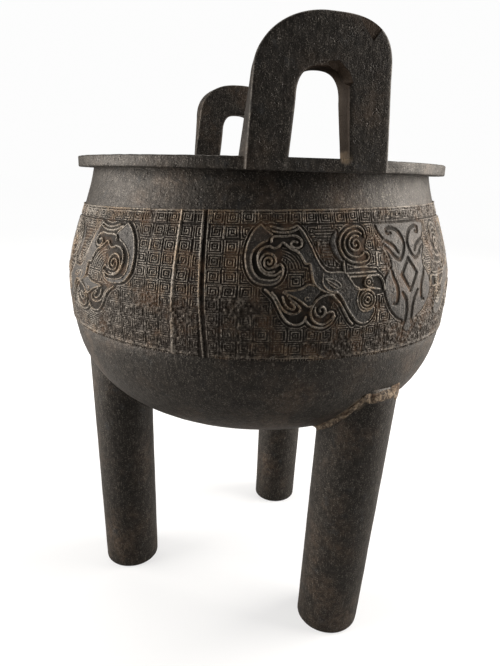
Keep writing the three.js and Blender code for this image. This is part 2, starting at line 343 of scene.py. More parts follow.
def store(mesh, name, values):
    """Keeps one number for each vertex as an attribute that a material reads."""
    attribute = mesh.attributes.get(name) or mesh.attributes.new(name, "FLOAT", "POINT")
    attribute.data.foreach_set("value", np.ascontiguousarray(values, np.float32))


def new_object(context, name, mesh):
    piece = bpy.data.objects.new(name, mesh)
    context.scene.collection.objects.link(piece)
    return piece


def face_outwards(mesh, merge=0.0):
    """Points a closed mesh's faces outwards, after its vertices within the merge distance become one."""
    bm = bmesh.new()
    bm.from_mesh(mesh)
    if merge:
        bmesh.ops.remove_doubles(bm, verts=bm.verts, dist=merge)
    bmesh.ops.recalc_face_normals(bm, faces=bm.faces)
    bm.to_mesh(mesh)
    bm.free()
    return mesh


def sphere_mesh(name, segments, rows):
    """A sphere to be reshaped, with each vertex's turn about its axis and its share of the way up."""
    bm = bmesh.new()
    bmesh.ops.create_uvsphere(bm, u_segments=segments, v_segments=rows, radius=1.0)
    for face in bm.faces:
        face.smooth = True
    mesh = mesh_of(bm, name)
    unit = coordinates(mesh)
    share = 1.0 - np.arccos(np.clip(unit[:, 2], -1.0, 1.0)) / math.pi
    return mesh, np.arctan2(unit[:, 1], unit[:, 0]), share


def add_to_vessel(piece, material):
    """Gives a piece its material, in its one slot, and puts it in the vessel's body."""
    dress(piece, material)
    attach(piece, "root")


def dress(piece, material):
    piece.data.materials.clear()
    piece.data.materials.append(material)
    for polygon in piece.data.polygons:
        polygon.material_index = 0


# The bowl


def bowl_profile(bowl, relief):
    """Radius and depth from the middle of the underside up to the rim, over it and down the inside."""
    underside = []
    for turn in np.linspace(math.pi / 2, 0.0, 26)[:-1]:
        radius = bowl.belly_radius * max(math.cos(turn), 0.0) ** (2.0 / bowl.fullness)
        share = math.sin(turn) ** (2.0 / bowl.flatness)
        depth = bowl.belly_depth + share * (bowl.bowl_depth - bowl.belly_depth)
        underside.append((0.0 if radius < 0.1 * MM else radius, depth))
    side_depths = np.linspace(bowl.belly_depth, bowl.rim_thickness, 30)
    side = [(float(outer_radius(depth, bowl)), depth) for depth in side_depths]
    outside = np.array(underside + side)
    along = np.gradient(outside, axis=0)
    along /= np.hypot(along[:, 0], along[:, 1])[:, None]
    inside = outside + bowl.wall * np.stack([along[:, 1], -along[:, 0]], axis=1)
    inside[0] = (0.0, bowl.bowl_depth - bowl.wall)
    mouth = bowl.neck_radius - bowl.wall
    inside = inside[(inside[:, 1] > bowl.rim_thickness + 1.5 * MM) & (inside[:, 0] >= 0.0)]
    # The wall is sunk a little where the relief sits on it
    seat_lift, seat_edge, wall_edge = -0.4 * MM, 0.4 * MM, 0.8 * MM
    sunk = [
        (radius + (seat_lift if relief.top + seat_edge < depth < relief.bottom - seat_edge else 0.0), depth)
        for radius, depth in outside
    ]
    for depth, lift in (
        (relief.top - wall_edge, 0.0),
        (relief.top + seat_edge, seat_lift),
        (relief.bottom - seat_edge, seat_lift),
        (relief.bottom + wall_edge, 0.0),
    ):
        sunk.append((float(outer_radius(depth, bowl)) + lift, depth))
    sunk.sort(key=lambda point: (-point[1], point[0]))
    rounding = bowl.rim_rounding
    lip = [
        (bowl.rim_radius - rounding, bowl.rim_thickness),
        (bowl.rim_radius - 0.3 * rounding, bowl.rim_thickness - 0.3 * rounding),
        (bowl.rim_radius, bowl.rim_thickness - rounding),
        *((bowl.rim_radius, bowl.rim_thickness * share) for share in (0.72, 0.57, 0.43, 0.28)),
        (bowl.rim_radius, rounding),
        (bowl.rim_radius - 0.3 * rounding, 0.3 * rounding),
        (bowl.rim_radius - rounding, 0.0),
        (bowl.rim_radius - 5.0 * MM, 0.0),
        (mouth + 5.0 * MM, 0.0),
        (mouth + rounding, 0.0),
        (mouth + 0.3 * rounding, 0.3 * rounding),
        (mouth, rounding),
        (mouth, bowl.rim_thickness * 0.5),
        (mouth, bowl.rim_thickness),
    ]
    return sunk + lip + [tuple(point) for point in inside[::-1]]


def bowl_mesh(bowl, relief):
    """The hollow bowl with its rim, and the seat of the relief."""
    bm = bmesh.new()
    profile = bowl_profile(bowl, relief)
    points = [bm.verts.new((radius, 0.0, bowl.rim_height - depth)) for radius, depth in profile]
    edges = [bm.edges.new(pair) for pair in zip(points, points[1:])]
    bmesh.ops.spin(
        bm,
        geom=points + edges,
        cent=(0.0, 0.0, 0.0),
        axis=(0.0, 0.0, 1.0),
        angle=2.0 * math.pi,
        steps=bowl.turns,
        use_merge=True,
    )
    bmesh.ops.remove_doubles(bm, verts=bm.verts, dist=0.02 * MM)
    bmesh.ops.recalc_face_normals(bm, faces=bm.faces)
    mesh = mesh_of(bm, "bowl")
    points = coordinates(mesh)
    radius = np.hypot(points[:, 0], points[:, 1])
    azimuth = np.degrees(np.arctan2(points[:, 0], -points[:, 1]))
    depth = bowl.rim_height - points[:, 2]
    # The band's top line wanders, so the seat of the relief follows it
    outside = (radius > outer_radius(depth, bowl) - 1.0 * MM) & (depth > bowl.rim_thickness + 1.0 * MM)
    near = np.exp(-(((depth - relief.top) / (14.0 * MM)) ** 2)) * outside * (depth < bowl.belly_depth)
    moved = depth - (relief.top - band_top(azimuth, relief)) * near
    grown = outer_radius(moved, bowl) + radius - outer_radius(depth, bowl)
    scale = np.where(near > 0.01, grown / np.maximum(radius, 1e-9), 1.0)
    points[:, :2] *= scale[:, None]
    points[:, 2] = np.where(near > 0.01, bowl.rim_height - moved, points[:, 2])
    # The rim's edge is flat where a handle stands on it
    flat_place, flat_half = 122.1 * MM, 36.5 * MM
    at_rim = depth < bowl.rim_thickness + 1.0 * MM
    for place in HANDLE_PLACES:
        turn = math.radians(place["azimuth"])
        outwards, across = handle_axes(points, place)
        over = np.where((np.abs(across) < flat_half) & at_rim, outwards - flat_place, 0.0)
        over = np.maximum(over, 0.0)
        points[:, 0] -= over * math.sin(turn)
        points[:, 1] += over * math.cos(turn)
    set_coordinates(mesh, points)
    return mesh


# A handle


def arch(half, spring, height, left_round, right_round, steps):
    """Points over an arch from left to right, rounder or squarer by a power on each side."""
    points = []
    for turn in np.linspace(math.pi, 0.0, steps):
        power = 2.0 / (left_round if math.cos(turn) < 0.0 else right_round)
        across = math.copysign(abs(math.cos(turn)) ** power, math.cos(turn))
        points.append((half * across, spring + (height - spring) * abs(math.sin(turn)) ** power))
    return points


def upright_steps(foot, spring, steps):
    """Points from a foot up to the spring of an arch, without the last."""
    foot, spring = np.array(foot), np.array(spring)
    return [tuple(foot + (spring - foot) * t) for t in np.linspace(0, 1, steps)][:-1]


def loop_outlines(place, sizes):
    """Matching points along a handle's outer and inner outlines, from the left foot to the right foot."""
    root = -sizes.root_depth
    left_round, right_round, hole_round = place["left_round"], place["right_round"], sizes.hole_round
    arch_steps, side_steps = 61, 19
    outer = arch(sizes.spring_half, sizes.spring, sizes.height, left_round, right_round, arch_steps)
    inner = arch(
        sizes.hole_spring_half, sizes.hole_spring, sizes.hole_height, hole_round, hole_round, arch_steps
    )
    outer_left = upright_steps((-sizes.foot_half, root), outer[0], side_steps)
    inner_left = upright_steps((-sizes.hole_foot_half, root), inner[0], side_steps)
    outer_right = [(-across, up) for across, up in reversed(outer_left)]
    inner_right = [(-across, up) for across, up in reversed(inner_left)]
    return outer_left + outer + outer_right, inner_left + inner + inner_right


def rounded_section(half_width, half_depth, rounding, corner_steps=4, side_steps=(9, 5)):
    """A rounded rectangle as a closed list of points, long sides first."""
    points = []
    corners = ((1, 1, 0), (-1, 1, 90), (-1, -1, 180), (1, -1, 270))
    for index, (x, y, start) in enumerate(corners):
        middle = Vector((x * (half_width - rounding), y * (half_depth - rounding)))
        for t in np.linspace(0.0, math.pi / 2, corner_steps):
            turn = math.radians(start) + t
            points.append(middle + rounding * Vector((math.cos(turn), math.sin(turn))))
        following = corners[(index + 1) % 4]
        end = Vector((following[0] * (half_width - rounding), following[1] * (half_depth - rounding)))
        turn = math.radians(following[2])
        end = end + rounding * Vector((math.cos(turn), math.sin(turn)))
        start_point = points[-1]
        count = side_steps[index % 2]
        points += [start_point.lerp(end, t) for t in np.linspace(0.0, 1.0, count + 2)[1:-1]]
    return points


def handle_mesh(place, sizes, bowl):
    """A loop of rounded section, swept from its left foot over the arch to its right foot."""
    outer, inner = loop_outlines(place, sizes)
    bm = bmesh.new()
    around = len(rounded_section(1.0, 1.0, 0.1))
    ring = bmesh.ops.create_circle(bm, segments=around, radius=1.0)["verts"]
    edges = list(bm.edges)
    rings = [ring]
    for _ in outer[1:]:
        made = bmesh.ops.extrude_edge_only(bm, edges=edges)["geom"]
        edges = [item for item in made if isinstance(item, bmesh.types.BMEdge) and item.is_boundary]
        edges = [edge for edge in edges if all(vert in made for vert in edge.verts)]
        rings.append([item for item in made if isinstance(item, bmesh.types.BMVert)])
    for ring, out, hole in zip(rings, outer, inner):
        out, hole = Vector(out), Vector(hole)
        middle = (out + hole) / 2.0
        half = (out - hole) / 2.0
        section = rounded_section(half.length, sizes.thickness / 2.0, sizes.rounding)
        for vert, (a, b) in zip(ring, section):
            flat = middle + half.normalized() * a
            back = (sizes.thickness / 2.0 - b) / sizes.thickness
            taper = sizes.back_foot - sizes.back_taper * max(flat.y / MM, 0.0) - 1.0
            inwards = -sizes.face + back * sizes.thickness
            vert.co = (flat.x * (1.0 + taper * back), inwards, bowl.rim_height + flat.y)
    bmesh.ops.holes_fill(bm, edges=[edge for edge in bm.edges if edge.is_boundary], sides=0)
    bmesh.ops.recalc_face_normals(bm, faces=bm.faces)
    bm.transform(Matrix.Rotation(math.radians(place["azimuth"]), 4, "Z"))
    return mesh_of(bm, "handle")


# A leg


def leg_ends(place):
    """Places in plan of a leg's axis, on the floor and at the measured depth."""
    foot = np.array(ring_point(place["foot_azimuth"], place["foot_out"]))
    return foot, np.array(ring_point(place["azimuth"], place["out"]))


def leg_side(place, sizes, bowl, angle, height, growth=0.0):
    """Places in plan on a leg's side, at angles about its axis and heights above the floor."""
    foot, top = leg_ends(place)
    measured = bowl.rim_height - sizes.measured_depth
    middle = foot + (top - foot) * (height / measured)[:, None]
    radius = place["foot_radius"] + (place["radius"] - place["foot_radius"]) / measured * height + growth
    return middle + radius[:, None] * np.stack([np.cos(angle), np.sin(angle)], axis=1)


def underside_height(flat, lift, bowl):
    """Height of the underside over a point of the plan, by halving, for a surface lifted off it."""
    radius = np.hypot(flat[:, 0], flat[:, 1])
    low = np.full(len(flat), bowl.belly_depth)
    high = np.full(len(flat), bowl.bowl_depth)
    for _ in range(40):
        depth = (low + high) / 2.0
        inside = outer_radius(depth, bowl) > np.minimum(radius, bowl.belly_radius - 0.5 * MM)
        low = np.where(inside, depth, low)
        high = np.where(inside, high, depth)
    return bowl.rim_height - (low + high) / 2.0 - lift


def fillet_lines(place, sizes, bowl, angle):
    """Start, corner and end of a leg's fillet under the bowl, at angles about the leg's axis."""
    reach = np.full(len(angle), bowl.rim_height - sizes.measured_depth)
    for _ in range(30):
        reach = 0.5 * (reach + underside_height(leg_side(place, sizes, bowl, angle, reach), 0.0, bowl))
    # On its outer side a leg ends in a rounded shoulder below the place where it would leave the bowl
    shoulder = bowl.rim_height - sizes.shoulder_depth
    proud = reach > shoulder
    reach = np.minimum(reach, shoulder)
    width = sizes.fillet * (1.0 + 0.25 * np.sin(3.0 * angle + place["azimuth"]))
    start = np.column_stack([leg_side(place, sizes, bowl, angle, reach - width), reach - width])
    corner = np.column_stack([leg_side(place, sizes, bowl, angle, reach), reach])
    rise = underside_height(leg_side(place, sizes, bowl, angle, reach, 1.0 * MM), 0.0, bowl) - reach
    growth = width / np.hypot(1.0, rise / MM)
    end = leg_side(place, sizes, bowl, angle, reach, growth)
    end_height = np.where(proud, reach + 0.9 * width, underside_height(end, -0.6 * MM, bowl))
    flush = outer_radius(bowl.rim_height - end_height, bowl) - 0.6 * MM
    inwards = corner[:, :2] * (flush / np.hypot(*corner[:, :2].T))[:, None]
    end = np.where(proud[:, None], inwards, end)
    return start, corner, np.column_stack([end, end_height])


def bend(start, corner, end, t):
    """Points on a smooth curve from start to end that leans towards the corner."""
    return start * (1 - t) ** 2 + corner * (2 * t * (1 - t)) + end * t * t


def leg_mesh(place, sizes, bowl):
    """A tapering round leg from its rounded foot up to a fillet that runs onto the bowl's underside."""
    rows, segments = 64, 96
    sole_rows, foot_rows, fillet_rows, cap_rows = 3, 7, 10, 5
    straight_end = rows - fillet_rows - cap_rows
    mesh, turn, share_up = sphere_mesh("leg", segments, rows)
    row = np.rint(share_up * rows).astype(int)
    foot, top = leg_ends(place)
    start, corner, end = fillet_lines(place, sizes, bowl, turn)
    measured = bowl.rim_height - sizes.measured_depth
    points = np.zeros((len(turn), 3))
    for index in range(rows + 1):
        chosen = row == index
        angle = turn[chosen]
        if index <= sole_rows:
            share = index / sole_rows
            inner = (place["foot_radius"] - sizes.rounding) * share
            flat = foot + inner * np.stack([np.cos(angle), np.sin(angle)], axis=1)
            height = np.zeros(len(angle))
        elif index <= foot_rows:
            arc = (index - sole_rows) / (foot_rows - sole_rows) * math.pi / 2.0
            inner = place["foot_radius"] - sizes.rounding * (1.0 - math.sin(arc))
            flat = foot + inner * np.stack([np.cos(angle), np.sin(angle)], axis=1)
            height = np.full(len(angle), sizes.rounding * (1.0 - math.cos(arc)))
        elif index <= straight_end:
            share = (index - foot_rows) / (straight_end - foot_rows)
            height = sizes.rounding + (start[chosen, 2] - sizes.rounding) * share
            flat = leg_side(place, sizes, bowl, angle, height)
        elif index <= straight_end + fillet_rows:
            curve = bend(start[chosen], corner[chosen], end[chosen], (index - straight_end) / fillet_rows)
            flat, height = curve[:, :2], curve[:, 2]
        else:
            share = 1.0 - (index - straight_end - fillet_rows) / cap_rows
            middle = foot + (top - foot) * (corner[chosen, 2:] / measured)
            flat = middle + (end[chosen, :2] - middle) * share * 0.98
            height = underside_height(flat, -2.6 * MM, bowl)
        points[chosen] = np.column_stack([flat, height])
    set_coordinates(mesh, points)
    return face_outwards(mesh, merge=0.01 * MM)


def crust_mesh(place, sizes, bowl):
    """A lumpy strip of crust in the corner between a leg and the bowl, broadest at its right end."""
    mesh, around, along = sphere_mesh("crust", segments=20, rows=340)
    first_turn, sweep = -202.0, 180.0
    start, corner, end = fillet_lines(place, sizes, bowl, np.radians(first_turn + sweep * along))
    span = np.linalg.norm(end - start, axis=1)
    outwards = (start + end) / 2.0 - corner
    outwards /= np.linalg.norm(outwards, axis=1)[:, None]
    middle = bend(start, corner, end, 0.5)
    # The strip thins out at both ends, and its width and middle line wander
    ends = np.clip(14.0 * np.minimum(along, 1.0 - along), 0.0, 1.0) ** 0.6
    right = smoothstep(0.80, 0.88, along)
    half = (2.9 + 3.4 * right + 0.9 * rough_noise(middle, 5.0 * MM, 13)) * MM * ends
    middle_line = 0.5 - 0.05 * right + 0.12 * rough_noise(middle, 9.0 * MM, 15)
    points = bend(start, corner, end, (middle_line + np.cos(around) * half / span)[:, None])
    lumps = rough_noise(points, 2.2 * MM, 17)
    height = (0.8 + 0.2 * right + 1.1 * lumps) * MM * ends
    rise = np.abs(np.sin(around))
    lift = np.where(np.sin(around) > 0.0, height * rise**0.7, -0.8 * MM * rise)
    set_coordinates(mesh, points + outwards * lift[:, None])
    return face_outwards(mesh)


# The whole casting


def combine(context, name, mesh, parts, operation):
    """The exact union of a solid with other parts, or what is left of it when they are cut away."""
    body = new_object(context, name, mesh)
    group = bpy.data.collections.new("parts")
    context.scene.collection.children.link(group)
    for index, part in enumerate(parts):
        group.objects.link(bpy.data.objects.new(f"part_{index}", part))
    boolean = body.modifiers.new("combine", "BOOLEAN")
    boolean.operation = operation
    boolean.operand_type = "COLLECTION"
    boolean.collection = group
    boolean.solver = "EXACT"
    depsgraph = context.evaluated_depsgraph_get()
    joined = bpy.data.meshes.new_from_object(body.evaluated_get(depsgraph), depsgraph=depsgraph)
    body.modifiers.clear()
    old = body.data
    body.data = joined
    joined.name = name
    bpy.data.meshes.remove(old)
    for piece in list(group.objects):
        data = piece.data
        bpy.data.objects.remove(piece)
        bpy.data.meshes.remove(data)
    bpy.data.collections.remove(group)
    return body


def chip_cutter(chip, sizes, bowl):
    """A solid over a chip's outline on a handle's outer face, as deep as each corner's third number."""
    bm = bmesh.new()
    slope = 0.5
    middle = Vector(np.mean(chip, axis=0)[:2])
    for across, up, floor in chip:
        corner = Vector((across, up))
        outwards = (corner - middle).normalized()
        for depth in (-1.0, floor):
            place = corner - outwards * depth * slope
            bm.verts.new((place.x * MM, -sizes.face + depth * MM, bowl.rim_height + place.y * MM))
    made = bmesh.ops.convex_hull(bm, input=bm.verts)
    spare = made["geom_unused"] + made["geom_interior"]
    loose = {item for item in spare if isinstance(item, bmesh.types.BMVert)}
    bmesh.ops.delete(bm, geom=list(loose), context="VERTS")
    bmesh.ops.recalc_face_normals(bm, faces=bm.faces)
    return mesh_of(bm, "chip")


def chipped_handle(context, sizes, bowl):
    """The front handle with its two chips."""
    cutters = [chip_cutter(chip, sizes, bowl) for chip in HANDLE_CHIPS]
    body = combine(context, "handle", handle_mesh(HANDLE_PLACES[0], sizes, bowl), cutters, "DIFFERENCE")
    mesh = body.data
    bpy.data.objects.remove(body)
    return mesh


def handle_marks(points, bowl, handles):
    """Where a handle is chipped or browned, and where dirt has gathered in the front one's opening."""
    brown = np.zeros(len(points))
    dirt = np.zeros(len(points))
    for index, place in enumerate(HANDLE_PLACES):
        outwards, across = handle_axes(points, place)
        inwards = (handles.face - outwards) / MM
        face = np.column_stack([across, points[:, 2] - bowl.rim_height]) / MM
        near = (inwards > -1.0) & (inwards < handles.thickness / MM + 1.0)
        # The opening's wall is found by an outline a little larger than the opening
        opening = np.array(loop_outlines(place, handles)[1]) / MM * (1.035, 1.012)
        wall = inside_outline(face, opening) & near & (face[:, 1] > 0.3) & (inwards > 0.6)
        brown = np.where(wall, 0.8, brown)
        if index == 0:
            for chip, floor in zip(HANDLE_CHIPS, (0.35, 0.15)):
                outline = np.array(chip)[:, :2]
                outline = outline + (outline - outline.mean(axis=0)) * 0.04
                cut = inside_outline(face, outline) & (inwards > floor) & (inwards < 5.0)
                brown = np.where(cut, 1.0, brown)
            corner = np.hypot(face[:, 0] - 14.5, face[:, 1] - 0.8)
            dirt = np.where(near, smoothstep(6.0, 1.0, corner), 0.0)
    return brown, dirt


def leg_distance(points, bowl, sizes):
    """Distance of each point from the nearest leg's side, and that leg's number."""
    measured = bowl.rim_height - sizes.measured_depth
    best = np.full(len(points), 1.0)
    nearest = np.zeros(len(points), int)
    for index, place in enumerate(LEG_PLACES):
        foot, top = leg_ends(place)
        middle = foot + (top - foot) * (points[:, 2:3] / measured)
        growth = place["radius"] - place["foot_radius"]
        radius = place["foot_radius"] + growth * points[:, 2] / measured
        distance = np.hypot(*(points[:, :2] - middle).T) - radius
        nearer = distance < best
        best = np.where(nearer, distance, best)
        nearest = np.where(nearer, index, nearest)
    return best, nearest


def weather_casting(body, bowl, legs, handles):
    """Moves the skin a little for the hand-made form, the nicked rim and the dirt at the joints."""
    mesh = body.data
    points = coordinates(mesh)
    normals = np.empty(len(mesh.vertices) * 3, np.float32)
    mesh.vertex_normals.foreach_get("vector", normals)
    normals = normals.reshape(-1, 3).astype(float)
    depth = bowl.rim_height - points[:, 2]
    radius = np.hypot(points[:, 0], points[:, 1])
    distance, nearest = leg_distance(points, bowl, legs)
    # Dirt lies where a leg meets the bowl, most on the front leg
    gap = np.abs(radius - outer_radius(np.minimum(depth, bowl.bowl_depth - 1.0 * MM), bowl))
    near_bowl = np.clip(1.0 - gap / (6.0 * MM), 0.0, 1.0)
    near_leg = np.clip(1.0 - np.abs(distance - 1.0 * MM) / (5.0 * MM), 0.0, 1.0)
    joint = near_bowl * near_leg * (depth > legs.shoulder_depth - 5.0 * MM)
    patch = np.clip(rough_noise(points, 7.0 * MM, 11) * 1.2 + 0.45, 0.0, 1.0)
    crust = np.clip(joint * 1.6, 0.0, 1.0) * patch * np.where(nearest == 0, 0.6, 0.35)
    chip, dirt = handle_marks(points, bowl, handles)
    crust = np.maximum(crust, dirt * np.clip(0.6 + 0.5 * rough_noise(points, 2.0 * MM, 19), 0.0, 1.0))
    lift = 0.14 * MM * rough_noise(points, 16.0 * MM, 3) + 0.05 * MM * rough_noise(points, 5.0 * MM, 7)
    # The rim's outer edge is nicked and pitted
    edge = np.clip(1.0 - np.abs(radius - bowl.rim_radius) / (1.6 * MM), 0.0, 1.0)
    edge *= (depth < bowl.rim_thickness + 0.5 * MM) & (points[:, 2] < bowl.rim_height + 0.5 * MM)
    lift -= edge * 0.5 * MM * np.clip(rough_noise(points, 4.0 * MM, 21) * 1.6, 0.0, 1.0)
    lift -= edge * 0.6 * MM * smoothstep(0.35, 0.7, rough_noise(points, 2.6 * MM, 23))
    points += normals * lift[:, None]
    points[:, 2] = np.maximum(points[:, 2], 0.0)
    set_coordinates(mesh, points)
    store(mesh, "crust", crust)
    store(mesh, "chip", chip)


# The relief's drawing. Each list holds places across and down one half of a panel, in millimetres, on
# the left of the panel's middle line. A third number is a width.

HOOK_OUTER = [
    (-91.5, 7.5), (-94.5, 10), (-97, 14), (-98.5, 18.5), (-99, 23.5), (-98, 29), (-95.5, 33.5),
    (-92.5, 35.7), (-88.5, 36.6), (-84.5, 36.3), (-81.5, 34.5), (-79.8, 31.5),
]
HOOK_SECOND = [
    (-88, 15), (-92, 17), (-95.5, 20.5), (-96.3, 25), (-95, 30), (-92, 33.3), (-87.5, 34.5), (-83, 34),
    (-80.6, 31.5),
]
HOOK_THIRD = [
    (-86.5, 17.8), (-90, 18.6), (-92.3, 21.2), (-92.6, 24.6), (-91.4, 28.4), (-89, 31), (-85.5, 32.1),
    (-82.5, 31.5), (-80.6, 30),
]
HOOK_BEAK = [(-79.8, 31.5), (-79.4, 28.6), (-81, 26.6), (-83.4, 28)]
CREST_EDGE = [(-91.5, 7.5), (-89, 9.5), (-85.5, 12.3)]
CREST_CURL = [
    (-85.6, 15.6), (-85, 13.4), (-82, 13), (-78, 13.1), (-74, 12.7), (-71, 13.6), (-69.2, 15.6),
    (-70, 18.2), (-73, 18.8), (-75.2, 17.2), (-74, 15.6), (-71.8, 16),
]
CREST_ARCS = (
    [(-88.4, 8.8), (-84, 10.7), (-79.5, 11.3), (-74.5, 10.8), (-70.6, 9.2)],
    [(-86, 8.2), (-82, 9.3), (-78, 9.6), (-74, 8.9), (-72, 8)],
)
CREST_UNDER = [
    (-86.5, 17.8), (-84, 18.8), (-81.8, 18), (-79.5, 16.2), (-77.2, 17.6), (-74.6, 19.3), (-72, 20.3),
]
BODY_LOWER = [
    (-72, 20.3), (-69.8, 22.6), (-68.4, 25), (-67.4, 26.5), (-65.2, 26.6), (-64.4, 30), (-63.6, 35),
    (-62, 37.5), (-59.4, 39.5), (-55.4, 41), (-50.4, 41.3), (-47.6, 44.4), (-44.4, 49.7), (-41.4, 53.7),
    (-38.4, 56.8), (-34.4, 58.3), (-30.6, 56.8), (-28.4, 53.7), (-27.9, 50.7),
]
BODY_UPPER = [
    (-71.4, 8.1), (-68.4, 11.1), (-65.4, 16.2), (-63.4, 20.3), (-61.4, 24.6), (-58.9, 28.4),
    (-55.4, 31), (-46.4, 31.6), (-43.4, 34.5), (-40.4, 38.5), (-37.6, 40.2), (-38.9, 44), (-38.4, 48.4),
    (-35.8, 51.5), (-31.6, 51.7), (-28.9, 49.4),
]
BODY_SHOULDER = [(-71.4, 8.1), (-69.2, 12.5), (-67.9, 16), (-69, 19), (-72, 20.3)]
BODY_BESIDE = ([(-68, 9.6), (-64.2, 15), (-62, 19.6), (-59.5, 24), (-57, 27.4), (-54, 28.8), (-47.5, 29)],)
NECK_LINES = tuple(
    [(-62.6 + 0.75 * step, 10.6 + 1.5 * step), (-50.8 - 0.15 * step, 10.6 + 1.5 * step)]
    for step in range(9)
)
LEAF_OUTER = [(-58.4, 31.6), (-58.6, 36.5), (-55.4, 40), (-50.4, 40.8)]
LEAF_UPPER = [
    (-57.2, 34), (-53, 34.6), (-49.4, 36.6), (-48.6, 38.4), (-51.5, 39), (-55, 36.8), (-57.2, 34),
]
LEAF_RIB = [(-56.5, 34.6), (-52.8, 36.8), (-50, 38.3)]
HORN_OUTER = [
    (-31.4, 14.4), (-32.2, 10.9), (-36, 9), (-42.4, 10.1), (-46.4, 13.2), (-48, 17.4), (-47.2, 21),
    (-44.9, 24.3), (-41, 26.4), (-36.4, 27), (-32.4, 26.4), (-30.4, 24.8), (-30.6, 22.8), (-33.4, 21.8),
]
HORN_PLATE = [
    (-49.6, 11.6, 1.2), (-51.6, 15.5, 2.6), (-51, 20, 3), (-48.6, 24.2, 1.6), (-46.6, 26.2, 0.6),
]
HORN_TICK = [(-46.1, 26), (-46.1, 31)]
EYE_LINES = ([(-45.2, 32), (-35, 32), (-26.4, 32)], [(-43.6, 33.8), (-35, 33.8), (-28, 33.8)])
EYE_UNDER = [(-40, 40), (-36.4, 40.6), (-30, 40.2), (-24.4, 41)]
EYE_END = [(-28.4, 34), (-24.6, 34), (-21.8, 37), (-21, 41.6)]
CLAW_FORE = [
    (-88.5, 39), (-85.5, 41.5), (-83.5, 44), (-82, 47), (-80.5, 50), (-79, 53), (-76.5, 55.8),
    (-74, 57), (-70.5, 57), (-68, 55.2), (-67.2, 53),
]
CLAW_NEST = [
    (-85, 40.5), (-82.5, 43.5), (-80.8, 46.8), (-78.5, 49.8), (-75, 51.4), (-71.8, 51.1), (-70.3, 49.2),
    (-71.6, 47), (-74.4, 44.6), (-76.8, 42.4),
]
CLAW_LEAF = [(-79.4, 42.6), (-78.6, 45.8), (-76.4, 48.4), (-74, 49), (-73.2, 47.6), (-75, 45.4)]
CLAW_TOP = [(-79, 40.6), (-73.5, 42.9), (-69.5, 45.5), (-66.5, 47.8), (-64.8, 47.4)]
CLAW_PLATE = [
    (-77, 40.4), (-72, 39.8), (-68, 38.4), (-66.4, 37), (-63.4, 37.8), (-60, 40), (-62.6, 43),
    (-65, 47), (-69.6, 44.6),
]
CLAW_ABOVE = [(-78.6, 39.9), (-73, 39.5), (-69.2, 38.4), (-66.8, 36.8), (-63.6, 37.2)]
CELL_LINES = tuple(
    [(-72.9 + x * size, 35 + y * 0.93 * size) for x, y in ((-1, -1), (1, -1), (1, 1), (-1, 1), (-1, -1))]
    for size in (1.1, 2.4, 3.7)
)
HIND_HOOK = [
    (-52.5, 42.4), (-56.5, 42.2), (-60, 43.4), (-63, 46), (-64.7, 50), (-64, 54), (-61.5, 56.5),
    (-58.5, 57.4), (-55.5, 56.4), (-53, 54), (-52.2, 51.8), (-54, 50.9), (-56.4, 51.4),
]
HIND_OUTER = [(-67.2, 55), (-65, 57.4), (-61.8, 58.9), (-57.6, 59.2), (-54, 57), (-51.6, 53.4)]
HIND_SIDE = [(-53, 42.8), (-49.6, 46), (-46.6, 50.4), (-43.6, 55.4), (-41, 58.2)]

# The face is a broad smooth plate on both sides of the middle line, with dark grooves cut in it
FACE_EDGE = [
    (-22.6, 8.6), (-20.6, 13), (-17.2, 16.6), (-18.8, 19.2), (-16.6, 22.4), (-14.4, 26.5), (-14.6, 31),
    (-17.6, 33.4), (-20, 36.5), (-20.6, 41), (-19.6, 46), (-17, 51), (-13.8, 54.6), (-9.8, 57.8),
    (-5.4, 60), (-3.6, 65), (0, 67.4),
]
FACE_GROOVES = [
    [(-17.6, 16.8, 1.2), (-14, 18.4, 1.5), (-10.4, 20.6, 1.5), (-7.9, 23.4, 1.2)],
    [
        (-15.4, 11.2, 1.2), (-12, 10.7, 1.6), (-6.6, 12.2, 1.7), (-3, 15.7, 1.8), (-1.7, 19.3, 1.8),
        (-3, 23.3, 1.7), (-5.6, 26.4, 1.5), (-8, 27.3, 1.6), (-11.4, 25.4, 1.4), (-14.4, 22.3, 1.4),
        (-18, 19.8, 1),
    ],
    [(-15.4, 11.2, 1.2), (-14.6, 13.6, 1.2), (-11.6, 13.4, 1)],
    [
        (-14.8, 32.8, 1.2), (-13.6, 36.5, 1.6), (-11.4, 40.5, 1.8), (-10.6, 46, 1.9), (-11.6, 49.8, 1.6),
        (-14, 50, 1),
    ],
    [(-7, 44.6, 1.2), (-3.8, 48.8, 1.8), (-2.6, 54, 2), (-2.8, 60, 1.9), (-4, 63.4, 1.4)],
]
# Worn places of the front panel: middle and half-width across, middle and half-height down, and how
# much is worn
WORN_PLACES = (
    (-101, 13, 49, 8, 0.7),
    (12, 46, 68, 9, 0.75),
    (-17, 6, 24, 12, 0.6),
    (48, 26, 28, 22, 0.75),
    (48, 30, 55, 16, 0.8),
    (40, 50, 4, 5, 0.6),
)
LOZENGE = [(0, 27.2), (7, 35.2), (0, 44.2), (-7, 35.2)]
LOZENGE_WIDTH = 1.6
